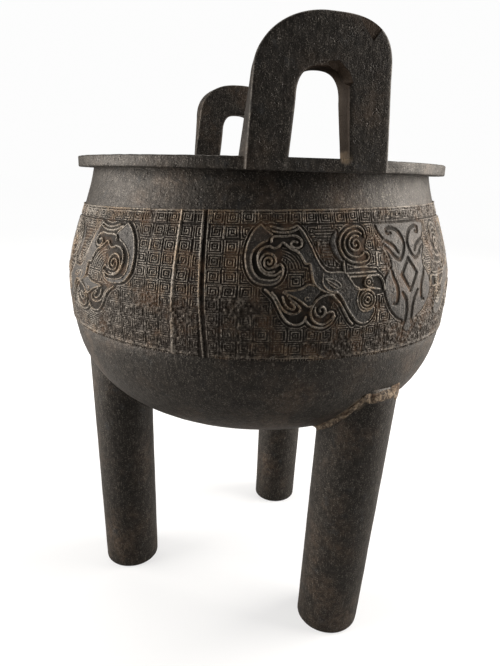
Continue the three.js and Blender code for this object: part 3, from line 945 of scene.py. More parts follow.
# Rings and spirals: middle, half-width, half-height, first turn and sweep in degrees, last size as a
# share of the first, and steps
TAIL, HORN, SNOUT, EYE = (-86.8, 25.5), (-38.2, 17.8), (-32.6, 46), (-31.6, 37)
SPIRALS = (
    (TAIL, 5.2, 5.4, 60, 830, 0.12, 60),
    (HORN, 6.9, 6.4, -50, -262, 1.0, 30),
    (HORN, 4.7, 4.4, -60, -620, 0.15, 44),
    (SNOUT, 4.9, 4.9, 0, 360, 1.0, 30),
    (SNOUT, 3.2, 3.2, 0, 360, 1.0, 20),
    (SNOUT, 1.5, 1.5, 0, 360, 1.0, 12),
    (EYE, 2.6, 2.5, 0, 360, 1.0, 16),
    (EYE, 1.0, 1.0, 0, 360, 1.0, 8),
    ((-59.2, 50), 3.6, 4.2, 200, -420, 0.2, 24),
    ((-67, 43.6), 1.5, 1.4, 30, 300, 0.4, 14),
)
DRAWN_RIDGES = (
    *(HOOK_OUTER, HOOK_SECOND, HOOK_THIRD, HOOK_BEAK, CREST_EDGE, CREST_CURL, CREST_UNDER, BODY_LOWER),
    *(BODY_UPPER, LEAF_OUTER, LEAF_UPPER, LEAF_RIB, HORN_OUTER, HORN_TICK, *EYE_LINES, EYE_UNDER, EYE_END),
    *(CLAW_FORE, CLAW_NEST, CLAW_LEAF, CLAW_TOP, CLAW_ABOVE, HIND_HOOK, HIND_OUTER, HIND_SIDE, *CREST_ARCS),
)
# Beyond this distance, in mm, a line has no effect on a place
REACH = 4.0


def smooth_line(points, steps=6, closed=False):
    """A smooth curve through given points, with any widths carried along."""
    points = np.array(points, float)
    if closed:
        ends = np.vstack([points[-1:], points, points[:2]])
    else:
        ends = np.vstack([2 * points[:1] - points[1:2], points, 2 * points[-1:] - points[-2:-1]])
    t = np.linspace(0.0, 1.0, steps, endpoint=False)[:, None]
    pieces = []
    for a, b, c, d in zip(ends, ends[1:], ends[2:], ends[3:]):
        curve = 2 * b + (c - a) * t
        curve = curve + (2 * a - 5 * b + 4 * c - d) * t**2
        pieces.append(0.5 * (curve + (3 * b - a - 3 * c + d) * t**3))
    pieces.append(ends[-2:-1])
    return np.vstack(pieces)


def arc_line(middle, across, down, start, turn, shrink=1.0, steps=30):
    """An arc or a spiral about a point: shrink is its last radius as a share of its first."""
    turns = np.radians(start + np.linspace(0.0, turn, steps))
    size = np.linspace(1.0, shrink, steps)
    x = middle[0] + across * size * np.cos(turns)
    y = middle[1] + down * size * np.sin(turns)
    return np.stack([x, y], axis=1)


def line_distance(points, line, best):
    """Lowers best to each point's distance from a line, less half the line's width where it has one."""
    low, high = line[:, :2].min(axis=0) - REACH, line[:, :2].max(axis=0) + REACH
    chosen = np.flatnonzero(((points >= low) & (points <= high)).all(axis=1))
    if not len(chosen):
        return
    near = points[chosen]
    result = best[chosen]
    for a, b in zip(line, line[1:]):
        along = b[:2] - a[:2]
        size = along @ along
        if size < 1e-9:
            continue
        offset = near - a[:2]
        t = np.clip(offset @ along / size, 0.0, 1.0)
        gap = np.hypot(offset[:, 0] - along[0] * t, offset[:, 1] - along[1] * t)
        if len(a) > 2:
            gap = gap - (a[2] + (b[2] - a[2]) * t) / 2.0
        result = np.minimum(result, gap)
    best[chosen] = result


def inside_outline(points, outline):
    """Which points lie inside a closed outline, by counting its sides to their right."""
    low, high = outline.min(axis=0), outline.max(axis=0)
    chosen = np.flatnonzero(((points >= low) & (points <= high)).all(axis=1))
    near = points[chosen]
    crossings = np.zeros(len(near), bool)
    for a, b in zip(outline, np.roll(outline, -1, axis=0)):
        if a[1] == b[1]:
            continue
        spans = (near[:, 1] < a[1]) != (near[:, 1] < b[1])
        at = a[0] + (near[:, 1] - a[1]) * (b[0] - a[0]) / (b[1] - a[1])
        crossings ^= spans & (near[:, 0] < at)
    result = np.zeros(len(points), bool)
    result[chosen] = crossings
    return result


def area_distance(points, outline, best):
    """Lowers best to the signed distance from a closed outline, below 0 inside it."""
    closed = np.vstack([outline, outline[:1]])
    gap = np.full(len(points), REACH)
    line_distance(points, closed, gap)
    signed = np.where(inside_outline(points, outline), -gap, gap)
    np.minimum(best, signed, out=best)


def figure_fields(points):
    """Signed distances, in mm, to the fields, the plates, the ridges and the grooves of one half figure."""
    field, plate, ridge, groove = (np.full(len(points), REACH) for _ in range(4))
    body_lower = smooth_line(BODY_LOWER)[::-1]
    body = np.vstack([smooth_line(BODY_UPPER), body_lower, smooth_line(BODY_SHOULDER)[::-1]])
    face_left = smooth_line(FACE_EDGE)
    face = np.vstack([face_left, face_left[::-1] * (-1, 1)])
    for outline in (body, face):
        area_distance(points, outline, plate)
    line_distance(points, smooth_line(HORN_PLATE), plate)
    area_distance(points, smooth_line(CLAW_PLATE, closed=True), plate)
    # The hook's broad band lies between its first and second ridge, and the crest's plate runs into it
    hook_outer, hook_second = smooth_line(HOOK_OUTER), smooth_line(HOOK_SECOND)
    crest = np.vstack([hook_outer[:30], hook_second[::-1][-34:], smooth_line(CREST_EDGE)[::-1]])
    band = np.vstack([hook_outer, hook_second[::-1]])
    for outline in (crest, band):
        area_distance(points, outline, plate)
    coil_end = smooth_line([(-80.5, 22), (-86.5, 17.8)])
    for outline in (
        np.vstack([hook_second, smooth_line(HOOK_BEAK), coil_end]),
        smooth_line(CREST_CURL[:9], closed=True),
        smooth_line(HORN_OUTER, closed=True),
        smooth_line(CLAW_FORE + CLAW_TOP[::-1], closed=True),
        smooth_line(HIND_HOOK + HIND_SIDE[:1], closed=True),
        smooth_line([(-45.2, 32), (-26.4, 32), (-21, 41.6), (-38, 40.6)], closed=True),
        arc_line(SNOUT, 5.4, 5.4, 0, 345),
    ):
        area_distance(points, outline, field)
    for line in DRAWN_RIDGES:
        line_distance(points, smooth_line(line), ridge)
    for spiral in SPIRALS:
        line_distance(points, arc_line(*spiral), ridge)
    for line in FACE_GROOVES:
        line_distance(points, smooth_line(line), groove)
        line_distance(points, smooth_line(line) * (-1, 1, 1), groove)
    lozenge = np.array([*LOZENGE, LOZENGE[0]], float)
    corners = np.column_stack([lozenge, np.full(len(lozenge), LOZENGE_WIDTH)])
    line_distance(points, corners, groove)
    return field, plate, ridge, groove


def ground_lines(points):
    """Distance from the thin lines that fill the ground between the hook, the body and the horn."""
    best = np.full(len(points), REACH)
    for line in (*CELL_LINES, *BODY_BESIDE, *NECK_LINES):
        line_distance(points, np.array(line, float), best)
    for size in (8.6, 10.2, 11.8, 13.4):
        line_distance(points, arc_line((-82.4, 29.4), size, size * 0.82, -78, 74, steps=16), best)
    return best


def spiral_ground(points, relief, cell_width):
    """Rows of square spirals, each turning against its neighbour: 1 on a ridge and 0 in a trough."""
    column = np.floor(points[:, 0] / cell_width)
    row = np.floor(points[:, 1] / relief.row_height)
    x = (points[:, 0] / cell_width - column) * 2.0 - 1.0
    y = (points[:, 1] / relief.row_height - row) * 2.0 - 1.0
    x = np.where((column + row) % 2 == 0, x, -x)
    wide = np.abs(x) > np.abs(y)
    side = np.where(wide, np.where(x > 0, 1, 3), np.where(y > 0, 2, 0))
    ring = np.where(wide, np.abs(x), np.abs(y)) * relief.cell_rings
    nested = value_noise(np.column_stack([column, row]), 1.0, 91) > 0.45
    wave = 0.5 - 0.5 * np.cos(2.0 * math.pi * (ring + np.where(nested, 0.0, side / 4.0)))
    return smoothstep(0.3, 0.85, wave)


def drawing_place(points, relief):
    """Where a place on a panel falls on the left half's drawing: the right half is wider and lower."""
    across = points[:, 0] + relief.face_shift
    stretch = relief.right_stretch
    right = (np.sqrt(1.0 + 4.0 * stretch * np.maximum(across, 0.0)) - 1.0) / (2.0 * stretch)
    drop = relief.right_drop * np.interp(points[:, 1], (8.0, 15.0, 34.0, 50.0), (0.25, 0.5, 1.5, 1.0))
    down = points[:, 1] - drop * smoothstep(8.0, 32.0, across)
    return np.column_stack([np.where(across > 0.0, -right, across), down])


def ridge_section(distance, half_width, power=0.6):
    """A rounded ridge: 1 on its middle line, down to 0 at its half width."""
    return np.clip(1.0 - (distance / half_width) ** 2, 0.0, 1.0) ** power


def toward(level, other, share):
    return level * (1.0 - share) + other * share


def relief_levels(points, relief, panel_name):
    """Lift in mm above the wall at places across and down a panel, with masks for the material."""
    half_width = math.pi * relief.radius / MM / 3.0
    cell_width = half_width / relief.cells_across
    wander = np.column_stack([rough_noise(points, 9.0, 31, 2), rough_noise(points, 9.0, 41, 2)])
    ground = spiral_ground(points + 0.4 * wander, relief, cell_width)
    place = drawing_place(points, relief)
    field, plate, ridge, groove = figure_fields(place)
    thin = ground_lines(place)
    figure = np.minimum(np.minimum(field, plate), ridge - 0.5)
    # Beside the figure the ground's lines run along its edge, and next to it lies a bare strip
    echo = 0.5 + 0.5 * np.cos(2.0 * math.pi * (figure - 1.55) / 1.15)
    ground = np.where(figure < 2.2, smoothstep(0.25, 0.75, echo), ground)
    ground = np.where(thin < 0.75, ridge_section(thin, 0.5, 1.0), ground)
    ground = np.where(figure < 0.9, 0.0, ground)
    ground_floor, ground_rise, field_height, ridge_rise = 0.15, 0.62, 0.3, 1.05
    plate_height, groove_height, row_line_height = 0.95, 0.02, 0.12
    on_figure = smoothstep(0.35, 0.0, figure)
    level = toward(ground_floor + ground_rise * ground, field_height, on_figure)
    on_plate = smoothstep(0.25, -0.25, plate)
    level = toward(level, plate_height, on_plate)
    cut = smoothstep(0.55, -0.25, groove) * on_plate
    level = toward(level, groove_height, cut)
    level = np.maximum(level, field_height + ridge_rise * ridge_section(ridge, 0.62, 0.7))
    # Borders: a double line above, a line below, a seam at each side and a side border on the left
    down = points[:, 1]
    across = np.abs(points[:, 0])
    row_line = smoothstep(0.55, 0.2, np.abs(down - 7.5)) * (1.0 - on_figure)
    level = toward(level, row_line_height, row_line)
    for at, width, top in ((0.4, 0.55, 1.1), (1.9, 0.4, 0.75), (75.6, 0.7, 0.85)):
        level = np.maximum(level, top * ridge_section(down - at, width))
    seam_width = 0.9 + 1.3 * np.clip(down / 77.0, 0.0, 1.0)
    level = np.maximum(level, 1.15 * ridge_section(half_width - across, seam_width))
    side_border = np.abs(points[:, 0] + np.interp(down, (2.5, 49.0, 76.0), (125.3, 123.3, 121.2)))
    level = np.maximum(level, 1.1 * ridge_section(side_border, 0.75))
    trench = smoothstep(1.3, 0.7, np.abs(side_border - 1.7)) * (points[:, 0] > -124.0)
    level = level * (1.0 - trench)
    beside = np.where(points[:, 0] > -123.5, np.abs(side_border - 3.1), 9.0)
    level = np.maximum(level, 0.85 * ridge_section(beside, 0.5))
    # Wear and corrosion
    wear = relief_wear(points, panel_name) * (1.0 - kept_share(points, panel_name) * on_figure)
    grit = 0.4 + 0.85 * rough_noise(points, 1.25, 61)
    level = toward(level, grit, wear)
    level += 0.05 * rough_noise(points, 1.6, 71, 2)
    pits = smoothstep(0.62, 0.95, rough_noise(points, 1.9, 81, 2))
    level -= 0.45 * pits
    return level, on_plate * (1.0 - cut), wear


def relief_wear(points, panel_name):
    """How much of the relief is worn or corroded away, from 0 to 1."""
    across, down = np.abs(points[:, 0]), points[:, 1]
    soft = rough_noise(points, 17.0, 51) * 0.5 + 0.5
    low_left = smoothstep(34.0, 56.0, down) * smoothstep(70.0, 96.0, across)
    low_middle = smoothstep(58.0, 70.0, down) * smoothstep(75.0, 45.0, across)
    wear = np.clip(0.4 * low_left + 0.35 * low_middle + smoothstep(0.55, 0.9, soft) * 0.5, 0.0, 0.8)
    if panel_name == "front":
        ragged = 0.25 * rough_noise(points, 6.0, 55)
        for middle, width, place_down, height, amount in WORN_PLACES:
            spot = np.hypot((points[:, 0] - middle) / width, (down - place_down) / height)
            wear = np.maximum(wear, amount * smoothstep(1.15, 0.6, spot + ragged))
    return wear


def kept_share(points, panel_name):
    """How much less the figure is worn than its ground: little on the front panel's right horn."""
    horn = (panel_name == "front") & (points[:, 0] > 26.0) & (points[:, 1] < 32.0)
    return np.where(horn, 0.25, 0.7)


def relief_mesh(panel, side, bowl, relief):
    """Half a panel as a closed shell: a fine face, carved by moving vertices, and a back in the wall."""
    half_width = math.pi * relief.radius / MM / 3.0
    tall = (relief.bottom - relief.top) / MM
    columns = relief.cells_across * panel["steps"]
    rows = round(tall / relief.row_height * panel["steps"])
    bm = bmesh.new()
    bmesh.ops.create_grid(bm, x_segments=columns, y_segments=rows, size=0.5)
    size = -2.0 * min(vert.co.x for vert in bm.verts)
    bmesh.ops.scale(bm, vec=(1.0 / size, 1.0 / size, 1.0), verts=bm.verts)
    bmesh.ops.translate(bm, vec=(0.5, 0.5, 0.0), verts=bm.verts)
    tiny = 0.1 / max(columns, rows)
    border = [edge for edge in bm.edges if edge.is_boundary]
    edges = [edge for edge in border if all(vert.co.y < tiny for vert in edge.verts)]
    bottom = [edge for edge in border if all(vert.co.y > 1.0 - tiny for vert in edge.verts)]
    for edge in border:
        edge.smooth = False
    back_rows = 5
    for index in range(back_rows + 1):
        made = bmesh.ops.extrude_edge_only(bm, edges=edges)["geom"]
        verts = [item for item in made if isinstance(item, bmesh.types.BMVert)]
        step = (0.0, 0.0, -1.0) if index == 0 else (0.0, 1.0 / back_rows, 0.0)
        bmesh.ops.translate(bm, vec=step, verts=verts)
        edges = [item for item in made if isinstance(item, bmesh.types.BMEdge) and item.is_boundary]
        edges = [edge for edge in edges if abs(edge.verts[0].co.y - edge.verts[1].co.y) < tiny]
        edges = [edge for edge in edges if abs(edge.verts[0].co.z - edge.verts[1].co.z) < tiny]
    bmesh.ops.bridge_loops(bm, edges=edges + bottom)
    bmesh.ops.holes_fill(bm, edges=[edge for edge in bm.edges if edge.is_boundary], sides=0)
    for face in bm.faces:
        face.smooth = True
    mesh = mesh_of(bm, "relief")
    flat = coordinates(mesh)
    across = side * flat[:, 0] * half_width
    down = flat[:, 1] * tall
    points = np.column_stack([across, down])
    level, figure, wear = relief_levels(points, relief, panel["name"])
    front = flat[:, 2] > -0.5
    azimuth = panel["middle"] + np.degrees(across * MM / relief.radius)
    top = band_top(azimuth, relief)
    depth = top + (relief.bottom - top) * flat[:, 1]
    lift = np.where(front, level * MM, -relief.back_depth)
    set_coordinates(mesh, on_bowl(azimuth, depth, lift, bowl))
    full_height = 1.3
    store(mesh, "height", np.clip(level / full_height, 0.0, 1.0))
    store(mesh, "figure", figure)
    store(mesh, "wear", wear)
    return face_outwards(mesh)


# Materials


def add_node(tree, kind, values=None, **settings):
    """A new node with its settings, and plain values for its inputs by name or number."""
    node = tree.nodes.new(kind)
    for key, value in settings.items():
        setattr(node, key, value)
    for key, value in (values or {}).items():
        node.inputs[key].default_value = value
    return node


def mix_colours(tree, factor, first, second, blend="MIX"):
    """A colour mix. Each input is a socket or a plain value."""
    node = add_node(tree, "ShaderNodeMix", data_type="RGBA", blend_type=blend, clamp_factor=True)
    for socket, value in ((node.inputs[0], factor), (node.inputs[6], first), (node.inputs[7], second)):
        if isinstance(value, bpy.types.NodeSocket):
            tree.links.new(value, socket)
        elif isinstance(value, (int, float)):
            socket.default_value = value
        else:
            socket.default_value = (*tuple(value)[:3], 1.0)
    return node.outputs[2]


def maths(tree, operation, *values, clamp=False):
    """A sum on sockets or plain values."""
    node = add_node(tree, "ShaderNodeMath", operation=operation, use_clamp=clamp)
    for socket, value in zip(node.inputs, values):
        if isinstance(value, bpy.types.NodeSocket):
            tree.links.new(value, socket)
        else:
            socket.default_value = value
    return node.outputs[0]


def times(tree, first, second):
    return maths(tree, "MULTIPLY", first, second)


def plus(tree, first, second, clamp=False):
    return maths(tree, "ADD", first, second, clamp=clamp)


def ramp(tree, value, low, high):
    """A smooth rise from 0 at low to 1 at high."""
    ends = {"From Min": low, "From Max": high}
    node = add_node(tree, "ShaderNodeMapRange", ends, interpolation_type="SMOOTHSTEP")
    tree.links.new(value, node.inputs["Value"])
    return node.outputs["Result"]


def noise(tree, place, scale, detail, roughness):
    """Noise from 0 to 1 with so many features to a metre."""
    values = {"Scale": scale, "Detail": detail, "Roughness": roughness}
    node = add_node(tree, "ShaderNodeTexNoise", values)
    tree.links.new(place, node.inputs["Vector"])
    return node.outputs["Fac"]


def patina_group(colours):
    """The skin of old bronze: a mottled colour speckled with pits and with painted glints for highlights,
    its roughness and the height of its grain.
    """
    group = bpy.data.node_groups.new("bronze_patina", "ShaderNodeTree")
    face = group.interface
    for name, kind in (("Position", "Vector"), ("Warmth", "Float"), ("Painted glints", "Float")):
        face.new_socket(name, in_out="INPUT", socket_type="NodeSocket" + kind)
    for name, kind in (("Colour", "Color"), ("Roughness", "Float"), ("Grain", "Float")):
        face.new_socket(name, in_out="OUTPUT", socket_type="NodeSocket" + kind)
    start = group.nodes.new("NodeGroupInput")
    end = group.nodes.new("NodeGroupOutput")
    place = start.outputs["Position"]
    upright = add_node(group, "ShaderNodeMapping", {"Scale": (1.0, 1.0, 0.3)})
    group.links.new(place, upright.inputs["Vector"])
    broad = noise(group, place, 24.0, 5.0, 0.6)
    middle = noise(group, place, 110.0, 5.0, 0.62)
    streaks = noise(group, upright.outputs["Vector"], 700.0, 3.0, 0.6)
    fine = noise(group, place, 650.0, 3.0, 0.6)
    speck = noise(group, place, 1400.0, 2.0, 0.6)
    pits = ramp(group, noise(group, place, 380.0, 2.0, 0.5), 0.66, 0.73)
    warm = plus(group, broad, maths(group, "SUBTRACT", start.outputs["Warmth"], 0.5))
    skin = mix_colours(group, ramp(group, warm, 0.47, 0.72), colours.dark, colours.brown)
    skin = mix_colours(group, times(group, ramp(group, middle, 0.55, 0.72), 0.8), skin, colours.cool)
    coarse = ramp(group, noise(group, place, 260.0, 4.0, 0.62), 0.38, 0.62)
    shade = mix_colours(group, coarse, (0.45, 0.43, 0.41), (1.15, 1.15, 1.15))
    skin = mix_colours(group, 1.0, skin, shade, blend="MULTIPLY")
    # Painted glints: sparse specks of worn-metal colour that stand in for highlights, as strong as the
    # group's third input asks.
    painted_glint_spots = ramp(group, plus(group, speck, times(group, streaks, 0.5)), 0.80, 0.93)
    skin = mix_colours(group, times(group, painted_glint_spots, start.outputs["Painted glints"]), skin, colours.worn)
    skin = mix_colours(group, times(group, pits, 0.7), skin, colours.pit)
    rough = plus(group, times(group, middle, 0.3), 0.3)
    rough = plus(group, rough, times(group, fine, 0.18), clamp=True)
    grain = plus(group, times(group, fine, 0.5), middle)
    grain = plus(group, grain, times(group, speck, 0.3))
    grain = plus(group, grain, times(group, streaks, 0.35))
    grain = maths(group, "SUBTRACT", grain, times(group, pits, 0.6))
    group.links.new(skin, end.inputs["Colour"])
    group.links.new(rough, end.inputs["Roughness"])
    group.links.new(grain, end.inputs["Grain"])
    return group


def start_material(name, group, warmth, painted_glint_strength):
    """A new material with the patina in it, its nodes, its shader and the place on the object."""
    material = bpy.data.materials.new(name)
    material.use_nodes = True
    tree = material.node_tree
    shader = tree.nodes["Principled BSDF"]
    place = add_node(tree, "ShaderNodeTexCoord").outputs["Object"]
    # The last number sets how strong the patina's painted glints are.
    patina = add_node(tree, "ShaderNodeGroup", {"Warmth": warmth, "Painted glints": painted_glint_strength}, node_tree=group)
    tree.links.new(place, patina.inputs["Position"])
    return material, tree, shader, place, patina


def attribute(tree, name):
    return add_node(tree, "ShaderNodeAttribute", attribute_name=name).outputs["Fac"]


def finish_material(tree, shader, skin, rough, grain, grain_height, metallic=0.5):
    """Links the colour, the roughness and the grain, as a bump so many metres high, to the shader."""
    bump = add_node(tree, "ShaderNodeBump", {"Strength": 1.0, "Distance": grain_height})
    tree.links.new(grain, bump.inputs["Height"])
    tree.links.new(bump.outputs["Normal"], shader.inputs["Normal"])
    tree.links.new(skin, shader.inputs["Base Color"])
    tree.links.new(rough, shader.inputs["Roughness"])
    shader.inputs["Metallic"].default_value = metallic
    shader.inputs["Specular IOR Level"].default_value = 0.5
    shader.inputs["Specular Tint"].default_value = (1.0, 0.95, 0.89, 1.0)


def casting_material(group, colours):
    """The casting's skin, brown in its chips and pale where dirt has gathered."""
    material, tree, shader, _, patina = start_material("bronze_skin", group, 0.5, 0.2)
    crust = attribute(tree, "crust")
    chip = attribute(tree, "chip")
    skin = mix_colours(tree, times(tree, chip, 0.85), patina.outputs["Colour"], colours.chip)
    skin = mix_colours(tree, ramp(tree, crust, 0.12, 0.9), skin, colours.crust)
    rough = maths(tree, "MAXIMUM", patina.outputs["Roughness"], ramp(tree, crust, 0.1, 0.7))
    finish_material(tree, shader, skin, rough, patina.outputs["Grain"], 0.0004)
    return material


def crust_material(group, colours):
    """Earthy, crumbling crust: pale on its lumps, with brown painted shade in its hollows."""
    material, tree, shader, place, patina = start_material("earthy_crust", group, 0.7, 0.3)
    lumps = noise(tree, place, 420.0, 5.0, 0.65)
    patches = noise(tree, place, 130.0, 3.0, 0.6)
    # Where the lumps' bump is low the crust is painted brown: painted shade in its hollows.
    skin = mix_colours(tree, ramp(tree, lumps, 0.42, 0.62), colours.brown, colours.crust)
    skin = mix_colours(tree, times(tree, ramp(tree, patches, 0.5, 0.66), 0.6), skin, colours.rust)
    skin = mix_colours(tree, ramp(tree, patches, 0.46, 0.36), skin, patina.outputs["Colour"])
    height = plus(tree, lumps, times(tree, patina.outputs["Grain"], 0.3))
    rough = plus(tree, patches, 0.45, clamp=True)
    finish_material(tree, shader, skin, rough, height, 0.0012, metallic=0.0)
    return material


def relief_material(group, colours):
    """The relief: dusty troughs, plain plates and rubbed ridges, browner where it is worn."""
    material, tree, shader, place, patina = start_material("bronze_relief", group, 0.52, 0.25)
    height = attribute(tree, "height")
    figure = attribute(tree, "figure")
    wear = attribute(tree, "wear")
    patches = noise(tree, place, 70.0, 4.0, 0.6)
    dots = noise(tree, place, 900.0, 3.0, 0.6)
    trough = mix_colours(tree, ramp(tree, patches, 0.48, 0.66), colours.trough, colours.rust)
    ground = mix_colours(tree, ramp(tree, height, 0.46, 0.2), patina.outputs["Colour"], trough)
    plate = mix_colours(tree, 0.4, patina.outputs["Colour"], colours.cool)
    skin = mix_colours(tree, figure, ground, plate)
    off_figure = maths(tree, "SUBTRACT", 1.0, figure)
    ridge_top = times(tree, ramp(tree, height, 0.38, 0.58), off_figure)
    line_top = ramp(tree, height, 0.76, 0.98)
    rubbed = maths(tree, "MAXIMUM", times(tree, ridge_top, 0.52), times(tree, line_top, 0.55))
    rubbed = times(tree, rubbed, ramp(tree, dots, 0.30, 0.62))
    rubbed = times(tree, rubbed, maths(tree, "SUBTRACT", 1.0, times(tree, wear, 0.65)))
    tone = mix_colours(tree, ramp(tree, patches, 0.42, 0.6), colours.worn, colours.tan)
    skin = mix_colours(tree, rubbed, skin, tone)
    skin = mix_colours(tree, times(tree, ramp(tree, patches, 0.56, 0.72), 0.28), skin, colours.rust)
    skin = mix_colours(tree, times(tree, wear, 0.35), skin, colours.brown)
    dusty = times(tree, ramp(tree, height, 0.5, 0.1), 0.35)
    rough = plus(tree, patina.outputs["Roughness"], dusty, clamp=True)
    finish_material(tree, shader, skin, rough, patina.outputs["Grain"], 0.0006)
    return material


def stage_material():
    """A floor as white as the backdrop, which takes a faint shadow and throws little light back up."""
    material = bpy.data.materials.new("studio_white")
    material.use_nodes = True
    tree = material.node_tree
    shader = tree.nodes["Principled BSDF"]
    shader.inputs["Base Color"].default_value = (0.36, 0.36, 0.36, 1.0)
    shader.inputs["Roughness"].default_value = 0.9
    shader.inputs["Specular IOR Level"].default_value = 0.0
    glow = add_node(tree, "ShaderNodeEmission", {"Color": (1.0, 1.0, 1.0, 1.0)})
    path = add_node(tree, "ShaderNodeLightPath")
    place = add_node(tree, "ShaderNodeTexCoord").outputs["Object"]
    reach = add_node(tree, "ShaderNodeVectorMath", operation="LENGTH")
    tree.links.new(place, reach.inputs[0])
    distance = reach.outputs["Value"]
    under = 0.58
    near = times(tree, ramp(tree, distance, 0.2, 0.55), 0.315)
    far = times(tree, ramp(tree, distance, 0.9, 4.0), 0.045)
    glow_share = plus(tree, plus(tree, near, under), far)
    seen = times(tree, path.outputs["Is Camera Ray"], glow_share)
    tree.links.new(seen, glow.inputs["Strength"])
    both = add_node(tree, "ShaderNodeAddShader")
    tree.links.new(shader.outputs[0], both.inputs[0])
    tree.links.new(glow.outputs[0], both.inputs[1])
    tree.links.new(both.outputs[0], tree.nodes["Material Output"].inputs["Surface"])
    return material


def shared_patina(context):
    """The patina group, built once."""
    return bpy.data.node_groups.get("bronze_patina") or patina_group(context.scene.ding_colours)


# Operators


class DING_OT_casting(bpy.types.Operator):
    """Bowl, rim, handles and legs as one skin"""

    bl_idname = "ding.casting"
    bl_label = "Casting"
    bl_options = {"REGISTER", "UNDO"}

    def execute(self, context):
        scene = context.scene
        bowl, legs, handles = scene.ding_bowl, scene.ding_legs, scene.ding_handles
        parts = [leg_mesh(place, legs, bowl) for place in LEG_PLACES]
        parts += [chipped_handle(context, handles, bowl), handle_mesh(HANDLE_PLACES[1], handles, bowl)]
        body = combine(context, "ding_casting", bowl_mesh(bowl, scene.ding_relief), parts, "UNION")
        weather_casting(body, bowl, legs, handles)
        body.data.shade_smooth()
        body.data.set_sharp_from_angle(angle=math.radians(50))
        add_to_vessel(body, casting_material(shared_patina(context), scene.ding_colours))
        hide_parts(NODE)
        crust = new_object(context, "leg_crust", crust_mesh(LEG_PLACES[0], legs, bowl))
        add_to_vessel(crust, crust_material(shared_patina(context), scene.ding_colours))
        return {"FINISHED"}


class DING_OT_relief(bpy.types.Operator):
    """The carved band, as one piece for each half panel"""

    bl_idname = "ding.relief"
    bl_label = "Relief"
    bl_options = {"REGISTER", "UNDO"}

    def execute(self, context):
        scene = context.scene
        material = relief_material(shared_patina(context), scene.ding_colours)
        for panel in PANEL_PLACES:
            for side, word in ((-1, "left"), (1, "right")):
                mesh = relief_mesh(panel, side, scene.ding_bowl, scene.ding_relief)
                piece = new_object(context, f"relief_{panel['name']}_{word}", mesh)
                add_to_vessel(piece, material)
        return {"FINISHED"}


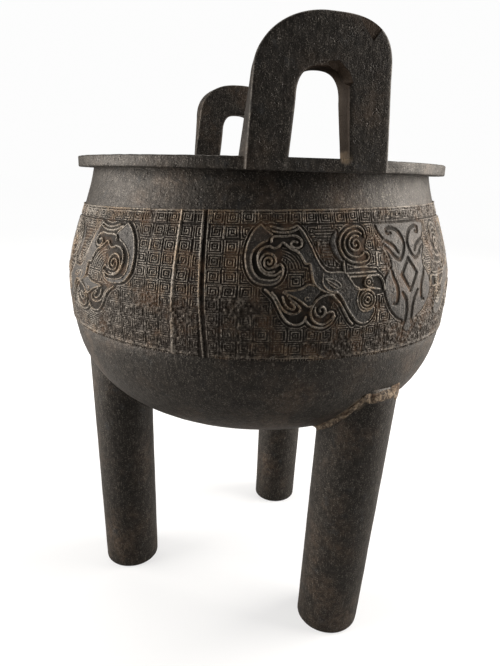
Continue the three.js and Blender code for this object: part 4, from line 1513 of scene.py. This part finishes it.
class DING_OT_stage(bpy.types.Operator):
    """Pale floor and backdrop, soft lights and the camera"""

    bl_idname = "ding.stage"
    bl_label = "Stage"
    bl_options = {"REGISTER", "UNDO"}

    def execute(self, context):
        scene = context.scene
        sizes = scene.ding_stage
        bm = bmesh.new()
        bmesh.ops.create_grid(bm, x_segments=1, y_segments=1, size=sizes.floor_size / 2.0)
        floor = new_object(context, "studio_floor", mesh_of(bm, "studio_floor"))
        floor.data.materials.append(stage_material())
        floor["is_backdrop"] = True
        turn = Matrix.Rotation(sizes.azimuth, 4, "Z")
        self.add_camera(context, sizes, turn)
        for name, place, size, power in SOFT_LIGHTS:
            self.add_light(context, name, turn @ Vector(place), size, power)
        self.add_world(scene)
        scene.view_settings.view_transform = "Standard"
        return {"FINISHED"}

    def add_light(self, context, name, place, size, power):
        """A soft rectangular light that faces the bowl."""
        light = bpy.data.lights.new(name, "AREA")
        light.shape = "RECTANGLE"
        light.size, light.size_y = size
        light.energy = power
        light.color = LIGHT_COLOUR
        lamp = bpy.data.objects.new(name, light)
        context.scene.collection.objects.link(lamp)
        facing = (Vector(LIT_PLACE) - place).to_track_quat("-Z", "Y").to_matrix().to_4x4()
        lamp.matrix_world = Matrix.Translation(place) @ facing

    def add_camera(self, context, sizes, turn):
        """The camera at the photograph's viewing angle."""
        data = bpy.data.cameras.new("camera")
        data.sensor_fit = "HORIZONTAL"
        data.lens = sizes.lens_pixels / sizes.picture_width * data.sensor_width
        data.clip_start = 0.01
        camera = bpy.data.objects.new("camera", data)
        context.scene.collection.objects.link(camera)
        yaw, pitch, roll = sizes.yaw, sizes.pitch, sizes.roll
        level_share = math.cos(pitch)
        forward = Vector((math.sin(yaw) * level_share, math.cos(yaw) * level_share, -math.sin(pitch)))
        right = Vector((math.cos(yaw), -math.sin(yaw), 0.0))
        up = right.cross(forward)
        across = right * math.cos(roll) - up * math.sin(roll)
        upward = right * math.sin(roll) + up * math.cos(roll)
        facing = Matrix((across, upward, -forward)).transposed().to_4x4()
        height = context.scene.ding_bowl.rim_height - sizes.drop
        camera.matrix_world = turn @ Matrix.Translation((0.0, -sizes.distance, height)) @ facing
        context.scene.camera = camera

    def add_world(self, scene):
        """A weak light from all round, with a near-white backdrop for the camera alone."""
        sizes = scene.ding_stage
        world = bpy.data.worlds.new("studio")
        scene.world = world
        world.use_nodes = True
        tree = world.node_tree
        background = tree.nodes["Background"]
        background.inputs["Color"].default_value = (1.0, 1.0, 1.0, 1.0)
        background.inputs["Strength"].default_value = sizes.fill
        values = {"Color": (1.0, 1.0, 1.0, 1.0), "Strength": sizes.backdrop}
        shown = add_node(tree, "ShaderNodeBackground", values)
        path = add_node(tree, "ShaderNodeLightPath")
        mixer = add_node(tree, "ShaderNodeMixShader")
        tree.links.new(path.outputs["Is Camera Ray"], mixer.inputs[0])
        tree.links.new(background.outputs[0], mixer.inputs[1])
        tree.links.new(shown.outputs[0], mixer.inputs[2])
        tree.links.new(mixer.outputs[0], tree.nodes["World Output"].inputs["Surface"])


class DING_PT_sidebar(bpy.types.Panel):
    """Lists the pieces and their sizes"""

    bl_idname = "DING_PT_sidebar"
    bl_label = "Bronze ding"
    bl_space_type = "VIEW_3D"
    bl_region_type = "UI"
    bl_category = "Ding"

    def draw(self, context):
        layout = self.layout
        for operator in OPERATORS:
            layout.operator(operator.bl_idname)
        for name, kind in SETTINGS.items():
            box = layout.box()
            box.label(text=kind.__name__)
            group = getattr(context.scene, name)
            for key in kind.__annotations__:
                box.prop(group, key)


OPERATORS = (DING_OT_stage, DING_OT_casting, DING_OT_relief)
SETTINGS = {
    "ding_bowl": BowlSizes,
    "ding_handles": HandleSizes,
    "ding_legs": LegSizes,
    "ding_relief": ReliefSizes,
    "ding_colours": BronzeColours,
    "ding_stage": StageSizes,
}


def register():
    for kind in (*SETTINGS.values(), *OPERATORS, DING_PT_sidebar):
        bpy.utils.register_class(kind)
    for name, kind in SETTINGS.items():
        setattr(bpy.types.Scene, name, PointerProperty(type=kind))


def unregister():
    for name in SETTINGS:
        delattr(bpy.types.Scene, name)
    for kind in reversed((*SETTINGS.values(), *OPERATORS, DING_PT_sidebar)):
        bpy.utils.unregister_class(kind)


def main():
    register()
    bpy.ops.ding.stage()
    bpy.ops.ding.casting()
    bpy.ops.ding.relief()
    boxes = {"cad": cad_box, "visual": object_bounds()}
    boxes = {name: [list(corner) for corner in box] for name, box in boxes.items()}


if __name__ == "__main__":
    main()
